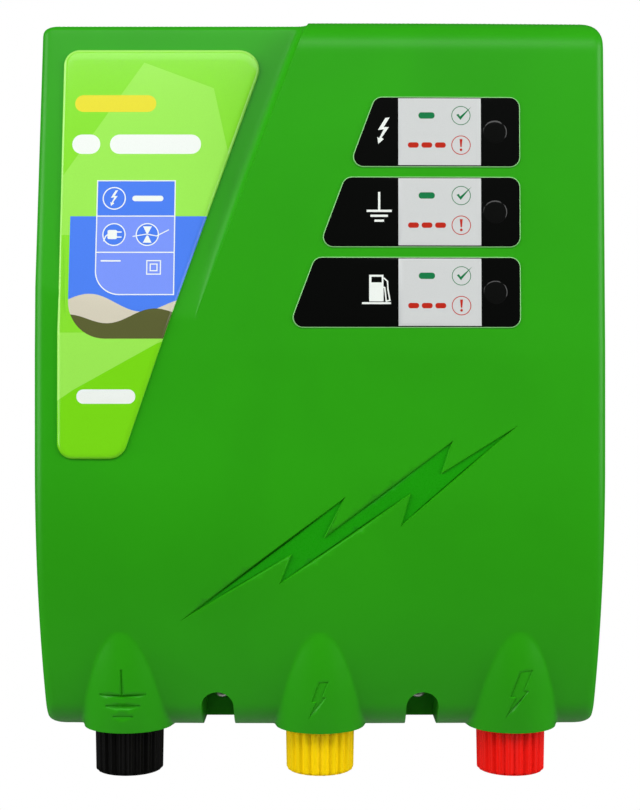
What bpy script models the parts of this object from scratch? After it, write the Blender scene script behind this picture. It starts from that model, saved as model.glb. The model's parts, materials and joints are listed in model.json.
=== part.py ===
"""Wall-hung mains fence energizer: a moulded front cover over a rear shell that holds the electronics,
with three screw-down terminals under hoods along its lower edge.

Metres, +Z up. The origin is on the face that rests on the wall, midway across and 147 mm above the
housing's lower edge. The front looks along -Y.
"""

import bmesh
import bpy
import math
from mathutils import Matrix, Vector

# Housing
WIDTH = 0.233
TOP = 0.1497
BOTTOM = -0.147
DEPTH = 0.110
CORNER = 0.005
COVER_BACK = -0.045
SHELL_FRONT = -0.043
WALL = 0.0025
SHELL_WALL = 0.003
GAP = 0.0003

# Front face: depths are measured back from the frontmost plane
SIDE_ROUND = 0.004
TOP_ROUND = 0.014
RECESS_TOP_ROUND = 0.0025
BOTTOM_ROUND = 0.012
CROWN = 0.002
LEAN_START = 0.012
LEAN_SLOPE = 0.034
BELLY_START = -0.033
BELLY_RADIUS = 0.228
RECESS_START = 0.0195
RECESS_SLOPE = 0.150
STEP_LOW = Vector((-0.053, 0.020))
STEP_SLOPE = 0.374
STEP_RUN = 0.005

# Terminals: each one's axis is vertical, this far behind the frontmost plane
TERMINALS = {"earth": -0.0824, "low_output": 0.0, "high_output": 0.0824}
TERMINAL_Y = -DEPTH + 0.040
HOOD_RADIUS = 0.0193
HOOD_BOTTOM = -0.147
HOOD_TOP = -0.100
HOOD_APEX = -0.1037
HOOD_APEX_DEPTH = 0.011
HOOD_SLOPE = 0.12
HOOD_BEND = 2.2
WELL_RADIUS = 0.0173
WELL_REACH = 0.0055
WELL_CEILING = -0.1335
WELL_FLOOR_PLATE = 0.003
WELL_WALL = 0.0022
STUD_RADIUS = 0.004
STUD_LOW = -0.1575
STUD_HIGH = -0.1185
STUD_CLEARANCE = 0.00025
PLATE_RADIUS = 0.010
PLATE_THICK = 0.0016
WASHER_THICK = 0.0015
KNOB_RADIUS = 0.015
KNOB_LOW = -0.1665
KNOB_HIGH = -0.1400
FLUTES = 22
FLUTE_DEPTH = 0.0007
KNOB_BORE_FLOOR = -0.1612
INSERT_RADIUS = 0.0062
INSERT_LOW = -0.156
NUT_RADIUS = 0.0075
NUT_THICK = 0.0065

# Screw pockets in the cover's lower edge
POCKET_X = 0.0433
POCKET_RADIUS = 0.00685
POCKET_Z = -0.1367
POCKET_BACK = -0.055
POCKET_WALL = 0.002
SCREW_Z = -0.135
SCREW_HOLE_RADIUS = 0.0022
PILLAR_RADIUS = 0.0045
PILLAR_HOLE_RADIUS = 0.0019

# Indicators
PANEL_RIGHT = 0.0811
PANEL_HEIGHT = 0.0282
PANEL_PITCH = 0.0327
PANEL_TOP_CENTRE = 0.1017
PANEL_LEFT_AT_TOP_CENTRE = 0.0160
PANEL_CORNER = 0.004
PANEL_THICK = 0.0007
LENS_X = 0.0711
LENS_RADIUS = 0.0049
PIPE_RADIUS = 0.003
INDICATORS = ("fence", "earth", "supply")
INDICATOR_BOARD_Y = -0.088
INDICATOR_BOARD_LEFT = 0.058
INDICATOR_BOARD_RIGHT = 0.088
INDICATOR_BOARD_LOW = 0.012
INDICATOR_BOARD_HIGH = 0.126
BOARD_RIBS = (0.118, 0.020)
LAMP_RADIUS = 0.0022

# Label
LABEL_LEFT = -0.106
LABEL_TOP = 0.138
LABEL_BOTTOM = -0.0307
LABEL_RIGHT_AT_ZERO = -0.0681
LABEL_RIGHT_SLOPE = 0.3434
LABEL_CORNER = 0.0065
LABEL_THICK = 0.0012

# Electronics
BOARD_SIZE = Vector((0.190, 0.0016, 0.200))
BOARD_Y = -0.0131
BOARD_Z = 0.010
POST_X = 0.086
POST_ZS = (-0.082, 0.102)
BOARD_FRONT = BOARD_Y - BOARD_SIZE.y / 2 - GAP

# Wall fixing
KEYHOLES = ((-0.075, 0.120), (0.075, 0.120), (0.0, -0.112))
KEY_HEAD_RADIUS = 0.005
KEY_SHANK = 0.005
KEY_RISE = 0.009
KEY_DEPTH = 0.0065

GLAND = Vector((0.0, -0.022, BOTTOM))
GLAND_THREAD_RADIUS = 0.0080
GLAND_HOLE_RADIUS = 0.0083

COLOURS = {
    "green": ((0.030, 0.300, 0.014), 0.38, 0.0),
    "lime": ((0.240, 0.750, 0.035), 0.20, 0.0),
    "black_film": ((0.004, 0.004, 0.004), 0.30, 0.0),
    "lens": ((0.010, 0.010, 0.011), 0.15, 0.0),
    "black": ((0.008, 0.008, 0.007), 0.45, 0.0),
    "yellow": ((0.900, 0.500, 0.003), 0.40, 0.0),
    "red": ((0.640, 0.012, 0.006), 0.40, 0.0),
    "brass": ((0.720, 0.520, 0.200), 0.35, 1.0),
    "steel": ((0.560, 0.560, 0.550), 0.35, 1.0),
    "aluminium": ((0.620, 0.630, 0.640), 0.40, 1.0),
    "rubber": ((0.020, 0.020, 0.020), 0.80, 0.0),
    "board": ((0.010, 0.120, 0.040), 0.50, 0.0),
    "capacitor": ((0.050, 0.130, 0.400), 0.40, 0.0),
    "iron": ((0.180, 0.180, 0.190), 0.55, 1.0),
    "winding": ((0.450, 0.120, 0.030), 0.50, 0.0),
    "grey_plastic": ((0.250, 0.260, 0.260), 0.50, 0.0),
    "glass": ((0.800, 0.820, 0.800), 0.10, 0.0),
}


# ---------------------------------------------------------------- scene and objects


def clear_scene():
    for thing in list(bpy.data.objects):
        bpy.data.objects.remove(thing, do_unlink=True)


def new_collection(name):
    collection = bpy.data.collections.new(name)
    bpy.context.scene.collection.children.link(collection)
    return collection


def material(name):
    made = bpy.data.materials.get(name)
    if made:
        return made
    colour, roughness, metallic = COLOURS[name]
    made = bpy.data.materials.new(name)
    made.use_nodes = True
    shader = made.node_tree.nodes["Principled BSDF"]
    shader.inputs["Base Color"].default_value = (*colour, 1.0)
    shader.inputs["Roughness"].default_value = roughness
    shader.inputs["Metallic"].default_value = metallic
    return made


def place(obj, paint):
    """Puts an object among the parts if it has a paint, or among the hidden tools if it has none."""
    if paint:
        PARTS.objects.link(obj)
        obj.data.materials.append(material(paint))
        return obj
    TOOLS.objects.link(obj)
    obj.hide_render = True
    obj.display_type = "WIRE"
    return obj


def from_bmesh(name, bm, paint, smooth=None):
    bmesh.ops.recalc_face_normals(bm, faces=bm.faces)
    mesh = bpy.data.meshes.new(name)
    bm.to_mesh(mesh)
    bm.free()
    if smooth:
        mesh.shade_smooth()
        mesh.set_sharp_from_angle(angle=math.radians(smooth))
    return place(bpy.data.objects.new(name, mesh), paint)


def boolean(target, operation, others):
    for other in others:
        modifier = target.modifiers.new(other.name, "BOOLEAN")
        modifier.operation = operation
        modifier.solver = "EXACT"
        modifier.object = other


def cut(target, *others):
    boolean(target, "DIFFERENCE", others)


def join(target, *others):
    boolean(target, "UNION", others)


# ---------------------------------------------------------------- basic solids


def block(name, low, high, paint=None, along=None, radius=0.0, segments=3):
    """A box between two corners. Its edges along one axis can be rounded."""
    low, high = Vector(low), Vector(high)
    bm = bmesh.new()
    bmesh.ops.create_cube(bm, size=1.0)
    bmesh.ops.scale(bm, verts=bm.verts, vec=high - low)
    bmesh.ops.translate(bm, verts=bm.verts, vec=(low + high) / 2)
    if along:
        axis = "XYZ".index(along)
        edges = [e for e in bm.edges if abs(e.verts[0].co[axis] - e.verts[1].co[axis]) > 1e-6]
        bmesh.ops.bevel(
            bm, geom=edges, offset=radius, segments=segments, profile=0.5, affect="EDGES", clamp_overlap=True
        )
    return from_bmesh(name, bm, paint)


def rod(name, start, end, radius, paint=None, segments=24):
    """A cylinder between two points."""
    start, end = Vector(start), Vector(end)
    axis = end - start
    bm = bmesh.new()
    bmesh.ops.create_cone(
        bm, cap_ends=True, segments=segments, radius1=radius, radius2=radius, depth=axis.length
    )
    bmesh.ops.rotate(bm, verts=bm.verts, matrix=axis.to_track_quat("Z", "Y").to_matrix())
    bmesh.ops.translate(bm, verts=bm.verts, vec=(start + end) / 2)
    return from_bmesh(name, bm, paint, smooth=40)


def turned(name, profile, paint, origin=(0, 0, 0), facing=None, steps=20, ring=False):
    """A profile of (radius, height) points, turned about the vertical axis through the origin.

    The points run down the outer side. A ring's profile closes on itself away from the axis.
    """
    mesh = bpy.data.meshes.new(name)
    count = len(profile)
    edges = [(i, (i + 1) % count) for i in range(count if ring else count - 1)]
    mesh.from_pydata([(radius, 0.0, height) for radius, height in profile], edges, [])
    obj = place(bpy.data.objects.new(name, mesh), paint)
    obj.location = origin
    if facing:
        obj.rotation_euler = Vector(facing).to_track_quat("Z", "Y").to_euler()
    screw = obj.modifiers.new("turn", "SCREW")
    screw.angle = math.tau
    screw.steps = steps
    screw.render_steps = steps
    screw.use_merge_vertices = True
    screw.merge_threshold = 0.00001
    screw.use_smooth_shade = True
    return obj


def hex_nut(name, at, low, high, radius, bore, paint):
    """A six-sided nut on a vertical axis, with a plain round bore."""
    x, y = at
    nut = rod(name, (x, y, low), (x, y, high), radius, paint, segments=6)
    cut(nut, rod(name + "_bore", (x, y, low - 0.001), (x, y, high + 0.001), bore))
    return nut


def ring_profile(inner, outer, low, high):
    return [(outer, high), (outer, low), (inner, low), (inner, high)]


def outline_plate(name, points, low_y, high_y, paint=None):
    """A flat (x, z) outline, extruded along Y."""
    curve = bpy.data.curves.new(name, "CURVE")
    curve.dimensions = "2D"
    curve.fill_mode = "BOTH"
    curve.extrude = (high_y - low_y) / 2
    spline = curve.splines.new("POLY")
    spline.points.add(len(points) - 1)
    for point, (x, z) in zip(spline.points, points):
        point.co = (x, z, 0.0, 1.0)
    spline.use_cyclic_u = True
    guide = bpy.data.objects.new(name + "_outline", curve)
    TOOLS.objects.link(guide)
    bpy.context.view_layer.update()
    mesh = bpy.data.meshes.new_from_object(guide.evaluated_get(bpy.context.evaluated_depsgraph_get()))
    bpy.data.objects.remove(guide)
    bm = bmesh.new()
    bm.from_mesh(mesh)
    bmesh.ops.remove_doubles(bm, verts=bm.verts, dist=0.000001)
    stand = Matrix.Translation((0, (low_y + high_y) / 2, 0)) @ Matrix.Rotation(math.pi / 2, 4, "X")
    bmesh.ops.transform(bm, matrix=stand, verts=bm.verts)
    return from_bmesh(name, bm, paint)


def cable(name, points, radius, paint):
    """A round lead along a smooth line through its points."""
    curve = bpy.data.curves.new(name, "CURVE")
    curve.dimensions = "3D"
    curve.bevel_depth = radius
    curve.bevel_resolution = 2
    curve.use_fill_caps = True
    route = smooth_route([Vector(point) for point in points], 3)
    spline = curve.splines.new("POLY")
    spline.points.add(len(route) - 1)
    for point, place_at in zip(spline.points, route):
        point.co = (*place_at, 1.0)
    return place(bpy.data.objects.new(name, curve), paint)


def smooth_route(points, steps):
    """Catmull-Rom points through the given ones."""
    padded = [2 * points[0] - points[1], *points, 2 * points[-1] - points[-2]]
    route = []
    for a, b, c, d in zip(padded, padded[1:], padded[2:], padded[3:]):
        for step in range(steps):
            t = step / steps
            bend = (2 * a - 5 * b + 4 * c - d) * t**2 + (3 * b - a - 3 * c + d) * t**3
            route.append(0.5 * (2 * b + (c - a) * t + bend))
    return [*route, points[-1]]


# ---------------------------------------------------------------- the moulded front face


def quarter(distance, radius):
    """How far a rounded edge has fallen away at this distance in from it."""
    if distance >= radius:
        return 0.0
    return radius - math.sqrt(max(radius**2 - (radius - distance) ** 2, 0.0))


def main_depth(x, z):
    lean = LEAN_SLOPE * max(z - LEAN_START, 0.0)
    belly = max(BELLY_START - z, 0.0) ** 2 / (2 * BELLY_RADIUS)
    return lean + belly + CROWN * (2 * x / WIDTH) ** 2


def recess_depth(x, z):
    return max(main_depth(x, z), RECESS_SLOPE * (z - RECESS_START))


def step_edge(z):
    """X of the edge where the main face drops to the recessed one."""
    return STEP_LOW.x + STEP_SLOPE * max(z - STEP_LOW.y, 0.0)


def face_depth(x, z):
    share = min(max((step_edge(z) - x) / STEP_RUN, 0.0), 1.0)
    return main_depth(x, z) * (1 - share) + recess_depth(x, z) * share


def face_y(x, z):
    return -DEPTH + face_depth(x, z)


def stations(breaks, counts):
    """Values between successive breaks, each stretch split into its own count of equal steps."""
    values = [breaks[0]]
    for start, end, count in zip(breaks, breaks[1:], counts):
        values += [start + (end - start) * (step + 1) / count for step in range(count)]
    return values


def moulding(name, inset, back, paint=None):
    """A closed solid with the moulded front face: the cover's outside, or its inside when inset."""
    half_width = WIDTH / 2 - inset
    low, high = BOTTOM + inset, TOP - inset
    turn_in = 0.0009
    rows = stations(
        [low, low + turn_in, low + 0.004, low + BOTTOM_ROUND, -0.055, STEP_LOW.y, high - TOP_ROUND,
         high - TOP_ROUND / 2, high - RECESS_TOP_ROUND, high],
        [1, 1, 2, 7, 4, 6, 2, 2, 3],
    )
    column_counts = [1, 2, 3, 2, 6, 2, 1]
    columns = sum(column_counts)
    bm = bmesh.new()
    bmesh.ops.create_grid(bm, x_segments=columns, y_segments=len(rows) - 1, size=1.0)
    for vertex in bm.verts:
        row = round((vertex.co.y + 1) / 2 * (len(rows) - 1))
        column = round((vertex.co.x + 1) / 2 * columns)
        z = rows[row]
        from_edge = min(high - z, z - low)
        half = half_width - quarter(from_edge, CORNER)
        edge = step_edge(z) + inset
        xs = stations(
            [-half, -half + turn_in, -half + SIDE_ROUND, edge - STEP_RUN, edge,
             half - SIDE_ROUND, half - turn_in, half],
            column_counts,
        )
        x = xs[column]
        share = min(max((edge - x) / STEP_RUN, 0.0), 1.0)
        top = TOP_ROUND * (1 - share) + RECESS_TOP_ROUND * share
        fall = quarter(half - abs(x), SIDE_ROUND) + quarter(from_edge, top if z > 0 else BOTTOM_ROUND)
        depth = inset + fall + main_depth(x, z) * (1 - share) + recess_depth(x, z) * share
        vertex.co = (x, -DEPTH + depth, z)
    rim = bmesh.ops.extrude_edge_only(bm, edges=[e for e in bm.edges if e.is_boundary])["geom"]
    for vertex in [item for item in rim if isinstance(item, bmesh.types.BMVert)]:
        vertex.co.y = back
    bmesh.ops.edgeloop_fill(bm, edges=[e for e in bm.edges if e.is_boundary])
    return from_bmesh(name, bm, paint, smooth=35)


def patch(name, left, right, low, high, corner, lift, thick, paint, rows=8):
    """A film or plate on the front face, between two side lines, with rounded corners."""
    round_rows = 3
    zs = stations([low, low + corner, high - corner, high], [round_rows, rows, round_rows])
    bm = bmesh.new()
    columns = 6
    bmesh.ops.create_grid(bm, x_segments=columns, y_segments=len(zs) - 1, size=1.0)
    for vertex in bm.verts:
        z = zs[round((vertex.co.y + 1) / 2 * (len(zs) - 1))]
        share = (vertex.co.x + 1) / 2
        pulled = quarter(min(z - low, high - z), corner) * 0.999
        x = left(z) + pulled + (right(z) - left(z) - 2 * pulled) * share
        vertex.co = (x, face_y(x, z) - lift, z)
    bmesh.ops.recalc_face_normals(bm, faces=bm.faces)
    facing_back = sum(face.normal.y for face in bm.faces) > 0
    if facing_back:
        bmesh.ops.reverse_faces(bm, faces=bm.faces)
    mesh = bpy.data.meshes.new(name)
    bm.to_mesh(mesh)
    bm.free()
    obj = place(bpy.data.objects.new(name, mesh), paint)
    shell = obj.modifiers.new("thickness", "SOLIDIFY")
    shell.thickness = thick
    shell.offset = 1.0
    return obj


# ---------------------------------------------------------------- housing


def hood(name, x):
    """The outside of a terminal's hood: an upright round form whose front bends back as it comes down."""
    bm = bmesh.new()
    length = HOOD_TOP - HOOD_BOTTOM
    bmesh.ops.create_cone(
        bm, cap_ends=True, segments=36, radius1=HOOD_RADIUS, radius2=HOOD_RADIUS, depth=length
    )
    uprights = [e for e in bm.edges if abs(e.verts[0].co.z - e.verts[1].co.z) > length / 2]
    bmesh.ops.subdivide_edges(bm, edges=uprights, cuts=5, use_grid_fill=True)
    bmesh.ops.translate(bm, verts=bm.verts, vec=(x, 0, (HOOD_TOP + HOOD_BOTTOM) / 2))
    for vertex in bm.verts:
        drop = HOOD_APEX - vertex.co.z
        front = HOOD_APEX_DEPTH + HOOD_SLOPE * drop + HOOD_BEND * max(drop, 0.0) ** 2
        vertex.co.y += -DEPTH + front + HOOD_RADIUS
    return from_bmesh(name, bm, None)


def well(name, x, grow, low, high):
    """An upright slot around a terminal that reaches back behind the knob, where the fence lead comes up."""
    radius = WELL_RADIUS + grow
    rear_y = TERMINAL_Y + WELL_REACH
    made = rod(name, (x, TERMINAL_Y, low), (x, TERMINAL_Y, high), radius, segments=36)
    back = block(name + "_back", (x - radius, TERMINAL_Y, low), (x + radius, rear_y, high))
    rear = rod(name + "_rear", (x, rear_y, low), (x, rear_y, high), radius, segments=36)
    join(made, back, rear)
    return made


def pocket(name, x, grow, front, back, low):
    """An arched slot in the lower edge, open below, in front of a cover screw."""
    radius = POCKET_RADIUS + grow
    turns = 10
    arch = [
        (x + radius * math.cos(math.pi * step / turns), POCKET_Z + radius * math.sin(math.pi * step / turns))
        for step in range(turns + 1)
    ]
    return outline_plate(name, [*arch, (x - radius, low), (x + radius, low)], front, back)


def make_cover():
    """The front cover: the moulding hollowed out, with closed wells round the terminals and screw pockets."""
    outside = moulding("front_cover", 0.0, COVER_BACK, "green")
    inside = moulding("cover_hollow", WALL, COVER_BACK + 0.010)
    low = BOTTOM - 0.020
    front = -DEPTH - 0.010
    for name, x in TERMINALS.items():
        join(outside, hood(name + "_hood", x))
        cut(inside, well(name + "_well_wall", x, WELL_WALL, low, WELL_CEILING + WELL_FLOOR_PLATE))
    for side, x in (("left", -POCKET_X), ("right", POCKET_X)):
        cut(inside, pocket(side + "_pocket_wall", x, POCKET_WALL, -DEPTH, POCKET_BACK + WALL, low))
    cut(outside, inside)
    for name, x in TERMINALS.items():
        cut(outside, well(name + "_well", x, 0.0, low, WELL_CEILING))
        top = WELL_CEILING + 0.010
        cut(outside, rod(name + "_stud_hole", (x, TERMINAL_Y, low), (x, TERMINAL_Y, top), STUD_RADIUS + GAP))
    for side, x in (("left", -POCKET_X), ("right", POCKET_X)):
        cut(outside, pocket(side + "_pocket", x, 0.0, front, POCKET_BACK, low))
        start = (x, POCKET_BACK - 0.005, SCREW_Z)
        end = (x, COVER_BACK, SCREW_Z)
        cut(outside, rod(side + "_screw_hole", start, end, SCREW_HOLE_RADIUS, segments=16))
    for name, z in zip(INDICATORS, panel_centres()):
        end = (LENS_X, -DEPTH + 0.012, z)
        cut(outside, rod(name + "_pipe_hole", (LENS_X, front, z), end, PIPE_RADIUS + GAP))
    board_front = INDICATOR_BOARD_Y - BOARD_SIZE.y / 2
    for index, z in enumerate(BOARD_RIBS):
        rib = block(
            f"board_rib_{index}", (INDICATOR_BOARD_LEFT, -DEPTH + 0.003, z - 0.002),
            (INDICATOR_BOARD_RIGHT, board_front - GAP, z + 0.002),
        )
        join(outside, rib)


def keyhole(name, x, z):
    """A hanging slot seen from the wall: a round way in for a screw's head, and a narrow rise above it."""
    entry = rod(name, (x, 0.002, z), (x, -KEY_DEPTH, z), KEY_HEAD_RADIUS)
    shank = block(
        name + "_shank", (x - KEY_SHANK / 2, -KEY_DEPTH, z), (x + KEY_SHANK / 2, 0.002, z + KEY_RISE)
    )
    head_top = z + KEY_RISE + 0.0025
    head = block(
        name + "_head", (x - KEY_HEAD_RADIUS, -KEY_DEPTH, z), (x + KEY_HEAD_RADIUS, -SHELL_WALL, head_top)
    )
    join(entry, shank, head)
    return entry


def make_shell():
    """The rear shell: an open box with board posts, pillars for the cover screws and hanging slots."""
    half_width = WIDTH / 2
    shell = block(
        "rear_shell", (-half_width, SHELL_FRONT, BOTTOM), (half_width, 0.0, TOP), "green", "Y", CORNER, 4
    )
    hollow = block(
        "shell_hollow",
        (-half_width + SHELL_WALL, SHELL_FRONT - 0.010, BOTTOM + SHELL_WALL),
        (half_width - SHELL_WALL, -SHELL_WALL, TOP - SHELL_WALL),
        None, "Y", CORNER - 0.002, 3,
    )
    cut(shell, hollow)
    for index, (x, z) in enumerate(KEYHOLES):
        side = KEY_HEAD_RADIUS + 0.002
        boss = block(
            f"keyhole_boss_{index}", (x - side, -KEY_DEPTH - 0.002, z - side),
            (x + side, -0.001, z + KEY_RISE + 0.0045),
        )
        join(shell, boss)
    for index, (x, z) in enumerate(KEYHOLES):
        cut(shell, keyhole(f"keyhole_{index}", x, z))
    for index, (x, z) in enumerate(board_posts()):
        join(shell, rod(f"board_post_{index}", (x, -0.001, z), (x, -0.012, z), 0.004, segments=16))
        cut(shell, rod(f"board_post_hole_{index}", (x, -0.0035, z), (x, -0.020, z), 0.0015, segments=12))
    for side, x in (("left", -POCKET_X), ("right", POCKET_X)):
        tip = POCKET_BACK + WALL + GAP
        pillar = rod(side + "_pillar", (x, -0.001, SCREW_Z), (x, tip, SCREW_Z), PILLAR_RADIUS, segments=20)
        join(shell, pillar)
        start = (x, -0.030, SCREW_Z)
        cut(shell, rod(side + "_pillar_hole", start, (x, -0.070, SCREW_Z), PILLAR_HOLE_RADIUS, segments=12))
    through = Vector((0, 0, 0.010))
    cut(shell, rod("gland_hole", GLAND - through, GLAND + through, GLAND_HOLE_RADIUS))
    return shell


def make_seal():
    """A flat rubber ring between the cover's rim and the shell's."""
    out, width = 0.0006, 0.0018
    low = Vector((out - WIDTH / 2, COVER_BACK + GAP, BOTTOM + out))
    high = Vector((WIDTH / 2 - out, SHELL_FRONT - GAP, TOP - out))
    seal = block("housing_seal", low, high, "rubber", "Y", CORNER - out, 4)
    inward = Vector((width, -0.01, width))
    hole = block("seal_hole", low + inward, high - inward, None, "Y", CORNER - out - width, 4)
    cut(seal, hole)
    return seal


def make_label():
    """The long plate on the recessed face, slanted to follow the step."""
    return patch(
        "label_plate",
        lambda z: LABEL_LEFT,
        lambda z: LABEL_RIGHT_AT_ZERO + LABEL_RIGHT_SLOPE * z,
        LABEL_BOTTOM, LABEL_TOP, LABEL_CORNER, GAP, LABEL_THICK, "lime", rows=10,
    )


# ---------------------------------------------------------------- indicators


def panel_centres():
    return [PANEL_TOP_CENTRE - PANEL_PITCH * index for index in range(len(INDICATORS))]


def make_indicators():
    """Three printed films, each over a light pipe that brings a lamp's light through the cover."""
    for name, z in zip(INDICATORS, panel_centres()):
        film = patch(
            name + "_panel",
            lambda at: PANEL_LEFT_AT_TOP_CENTRE + STEP_SLOPE * (at - PANEL_TOP_CENTRE),
            lambda at: PANEL_RIGHT,
            z - PANEL_HEIGHT / 2, z + PANEL_HEIGHT / 2, PANEL_CORNER, GAP, PANEL_THICK, "black_film", rows=3,
        )
        through = (LENS_X, -DEPTH - 0.010, z)
        cut(film, rod(name + "_film_hole", through, (LENS_X, -DEPTH + 0.010, z), PIPE_RADIUS + GAP))
        front = face_y(LENS_X, z)
        seat = GAP + PANEL_THICK + GAP
        turned(
            name + "_light_pipe",
            [(0, seat + 0.0012), (0.003, seat + 0.0010), (LENS_RADIUS - 0.0004, seat + 0.0006),
             (LENS_RADIUS, seat), (PIPE_RADIUS, seat), (PIPE_RADIUS, -0.012), (0, -0.012)],
            "lens", (LENS_X, front, z), facing=(0, -1, 0),
        )
        lamp_tip = front + 0.0125
        lamp_foot = lamp_tip - INDICATOR_BOARD_Y + BOARD_SIZE.y / 2 + GAP
        turned(
            name + "_lamp",
            [(0, 0.0), (0.0015, -0.0005), (LAMP_RADIUS, -0.0018), (LAMP_RADIUS, lamp_foot), (0, lamp_foot)],
            "glass", (LENS_X, lamp_tip, z), facing=(0, -1, 0), steps=16,
        )
    half = BOARD_SIZE.y / 2
    block(
        "indicator_board", (INDICATOR_BOARD_LEFT, INDICATOR_BOARD_Y - half, INDICATOR_BOARD_LOW),
        (INDICATOR_BOARD_RIGHT, INDICATOR_BOARD_Y + half, INDICATOR_BOARD_HIGH), "board",
    )


def make_ribbon():
    """The flat cable from the indicator board down and back to the main board."""
    name = "ribbon_cable"
    route = smooth_route(
        [Vector(p) for p in ((0, INDICATOR_BOARD_Y + 0.0020, 0.020), (0, -0.083, 0.004), (0, -0.060, -0.004),
                             (0, -0.032, -0.002), (0, BOARD_FRONT - 0.0012, 0.012))],
        4,
    )
    bm = bmesh.new()
    low = [bm.verts.new(point + Vector((0.066, 0, 0))) for point in route]
    edges = [bm.edges.new(pair) for pair in zip(low, low[1:])]
    swept = bmesh.ops.extrude_edge_only(bm, edges=edges)["geom"]
    moved = [item for item in swept if isinstance(item, bmesh.types.BMVert)]
    bmesh.ops.translate(bm, verts=moved, vec=(0.014, 0, 0))
    strip = from_bmesh(name, bm, "grey_plastic")
    shell = strip.modifiers.new("thickness", "SOLIDIFY")
    shell.thickness = 0.0009
    shell.offset = 0.0
    return strip


# ---------------------------------------------------------------- terminals


def make_knob(name, x, paint):
    """A fluted thumb nut, open at the top for its threaded insert and closed below."""
    height = KNOB_HIGH - KNOB_LOW
    segments = FLUTES * 3
    rings = (
        (0.0, 0.0125), (0.0012, 0.0143), (0.0035, KNOB_RADIUS), (height - 0.001, KNOB_RADIUS),
        (height, 0.0142),
    )
    bm = bmesh.new()
    bmesh.ops.create_cone(
        bm, cap_ends=True, segments=segments, radius1=1.0, radius2=1.0, depth=1.0
    )
    sides = [e for e in bm.edges if abs(e.verts[0].co.z - e.verts[1].co.z) > 0.5]
    bmesh.ops.subdivide_edges(bm, edges=sides, cuts=len(rings) - 2, use_grid_fill=True)
    for vertex in bm.verts:
        level, radius = rings[round((vertex.co.z + 0.5) * (len(rings) - 1))]
        turn = math.atan2(vertex.co.y, vertex.co.x)
        dip = FLUTE_DEPTH * max(math.cos(FLUTES * turn), 0.0)
        reach = radius - (dip if radius > 0.014 else 0.0)
        vertex.co = (reach * math.cos(turn), reach * math.sin(turn), level)
    knob = from_bmesh(name, bm, paint)
    knob.location = (x, TERMINAL_Y, KNOB_LOW)
    bore_top = (x, TERMINAL_Y, KNOB_HIGH + 0.001)
    cut(knob, rod(name + "_bore", (x, TERMINAL_Y, KNOB_BORE_FLOOR), bore_top, INSERT_RADIUS + GAP))
    return knob


def make_terminal(name, x, paint):
    """A fixed stud with its plate and nut, and the washer and knob that clamp a lead against the plate.

    The knob stands two turns short of closing, which leaves room for a lead between washer and plate.
    """
    at = (x, TERMINAL_Y, 0)
    bevel = 0.0006
    turned(
        name + "_stud",
        [(0, STUD_HIGH), (STUD_RADIUS - bevel, STUD_HIGH), (STUD_RADIUS, STUD_HIGH - bevel),
         (STUD_RADIUS, STUD_LOW + bevel), (STUD_RADIUS - bevel, STUD_LOW), (0, STUD_LOW)],
        "steel", at,
    )
    plate_top = WELL_CEILING - GAP
    plate_low = plate_top - PLATE_THICK
    bore = STUD_RADIUS + STUD_CLEARANCE
    plate = ring_profile(bore, PLATE_RADIUS, plate_low, plate_top)
    turned(name + "_contact_plate", plate, "brass", at, ring=True)
    washer_low = KNOB_HIGH + GAP
    washer = ring_profile(bore, PLATE_RADIUS, washer_low, washer_low + WASHER_THICK)
    turned(name + "_clamp_washer", washer, "steel", at, ring=True)
    nut_low = WELL_CEILING + WELL_FLOOR_PLATE + GAP
    hex_nut(name + "_stud_nut", (x, TERMINAL_Y), nut_low, nut_low + NUT_THICK, NUT_RADIUS, bore, "steel")
    make_knob(name + "_knob", x, paint)
    turned(
        name + "_knob_insert", ring_profile(STUD_RADIUS + 0.0001, INSERT_RADIUS, INSERT_LOW, KNOB_HIGH - GAP),
        "brass", at, ring=True,
    )


def make_leads():
    """Insulated leads from the studs' nuts up to the output transformer."""
    lead_radius = 0.0016
    start = STUD_HIGH + GAP + lead_radius
    for name, x in TERMINALS.items():
        entry = 0.030 + 0.008 * (x > 0) - 0.008 * (x < 0)
        cable(
            name + "_lead",
            [(x, TERMINAL_Y, start), (x * 0.97, TERMINAL_Y, start + 0.010),
             (x * 0.6 + 0.010, -0.062, -0.096), (entry, -0.040, -0.085), (entry, -0.037, -0.0706)],
            lead_radius, "rubber",
        )


# ---------------------------------------------------------------- electronics


def board_posts():
    return [(x, z) for x in (-POST_X, POST_X) for z in POST_ZS]


def screw(name, head_at, length, shank, head, paint="steel"):
    """A pan-head screw facing the front, with its head's seat at the given point."""
    lift = 0.0022
    slot = block(
        name + "_slot", Vector(head_at) + Vector((-0.0004, -lift - 0.001, -head)),
        Vector(head_at) + Vector((0.0004, -lift + 0.0009, head)),
    )
    made = turned(
        name,
        [(0, lift), (head * 0.6, lift), (head * 0.9, lift * 0.65), (head, lift * 0.2), (head, 0),
         (shank, 0), (shank, -length + shank), (0, -length)],
        paint, head_at, facing=(0, -1, 0), steps=16,
    )
    cut(made, slot)
    return made


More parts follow.
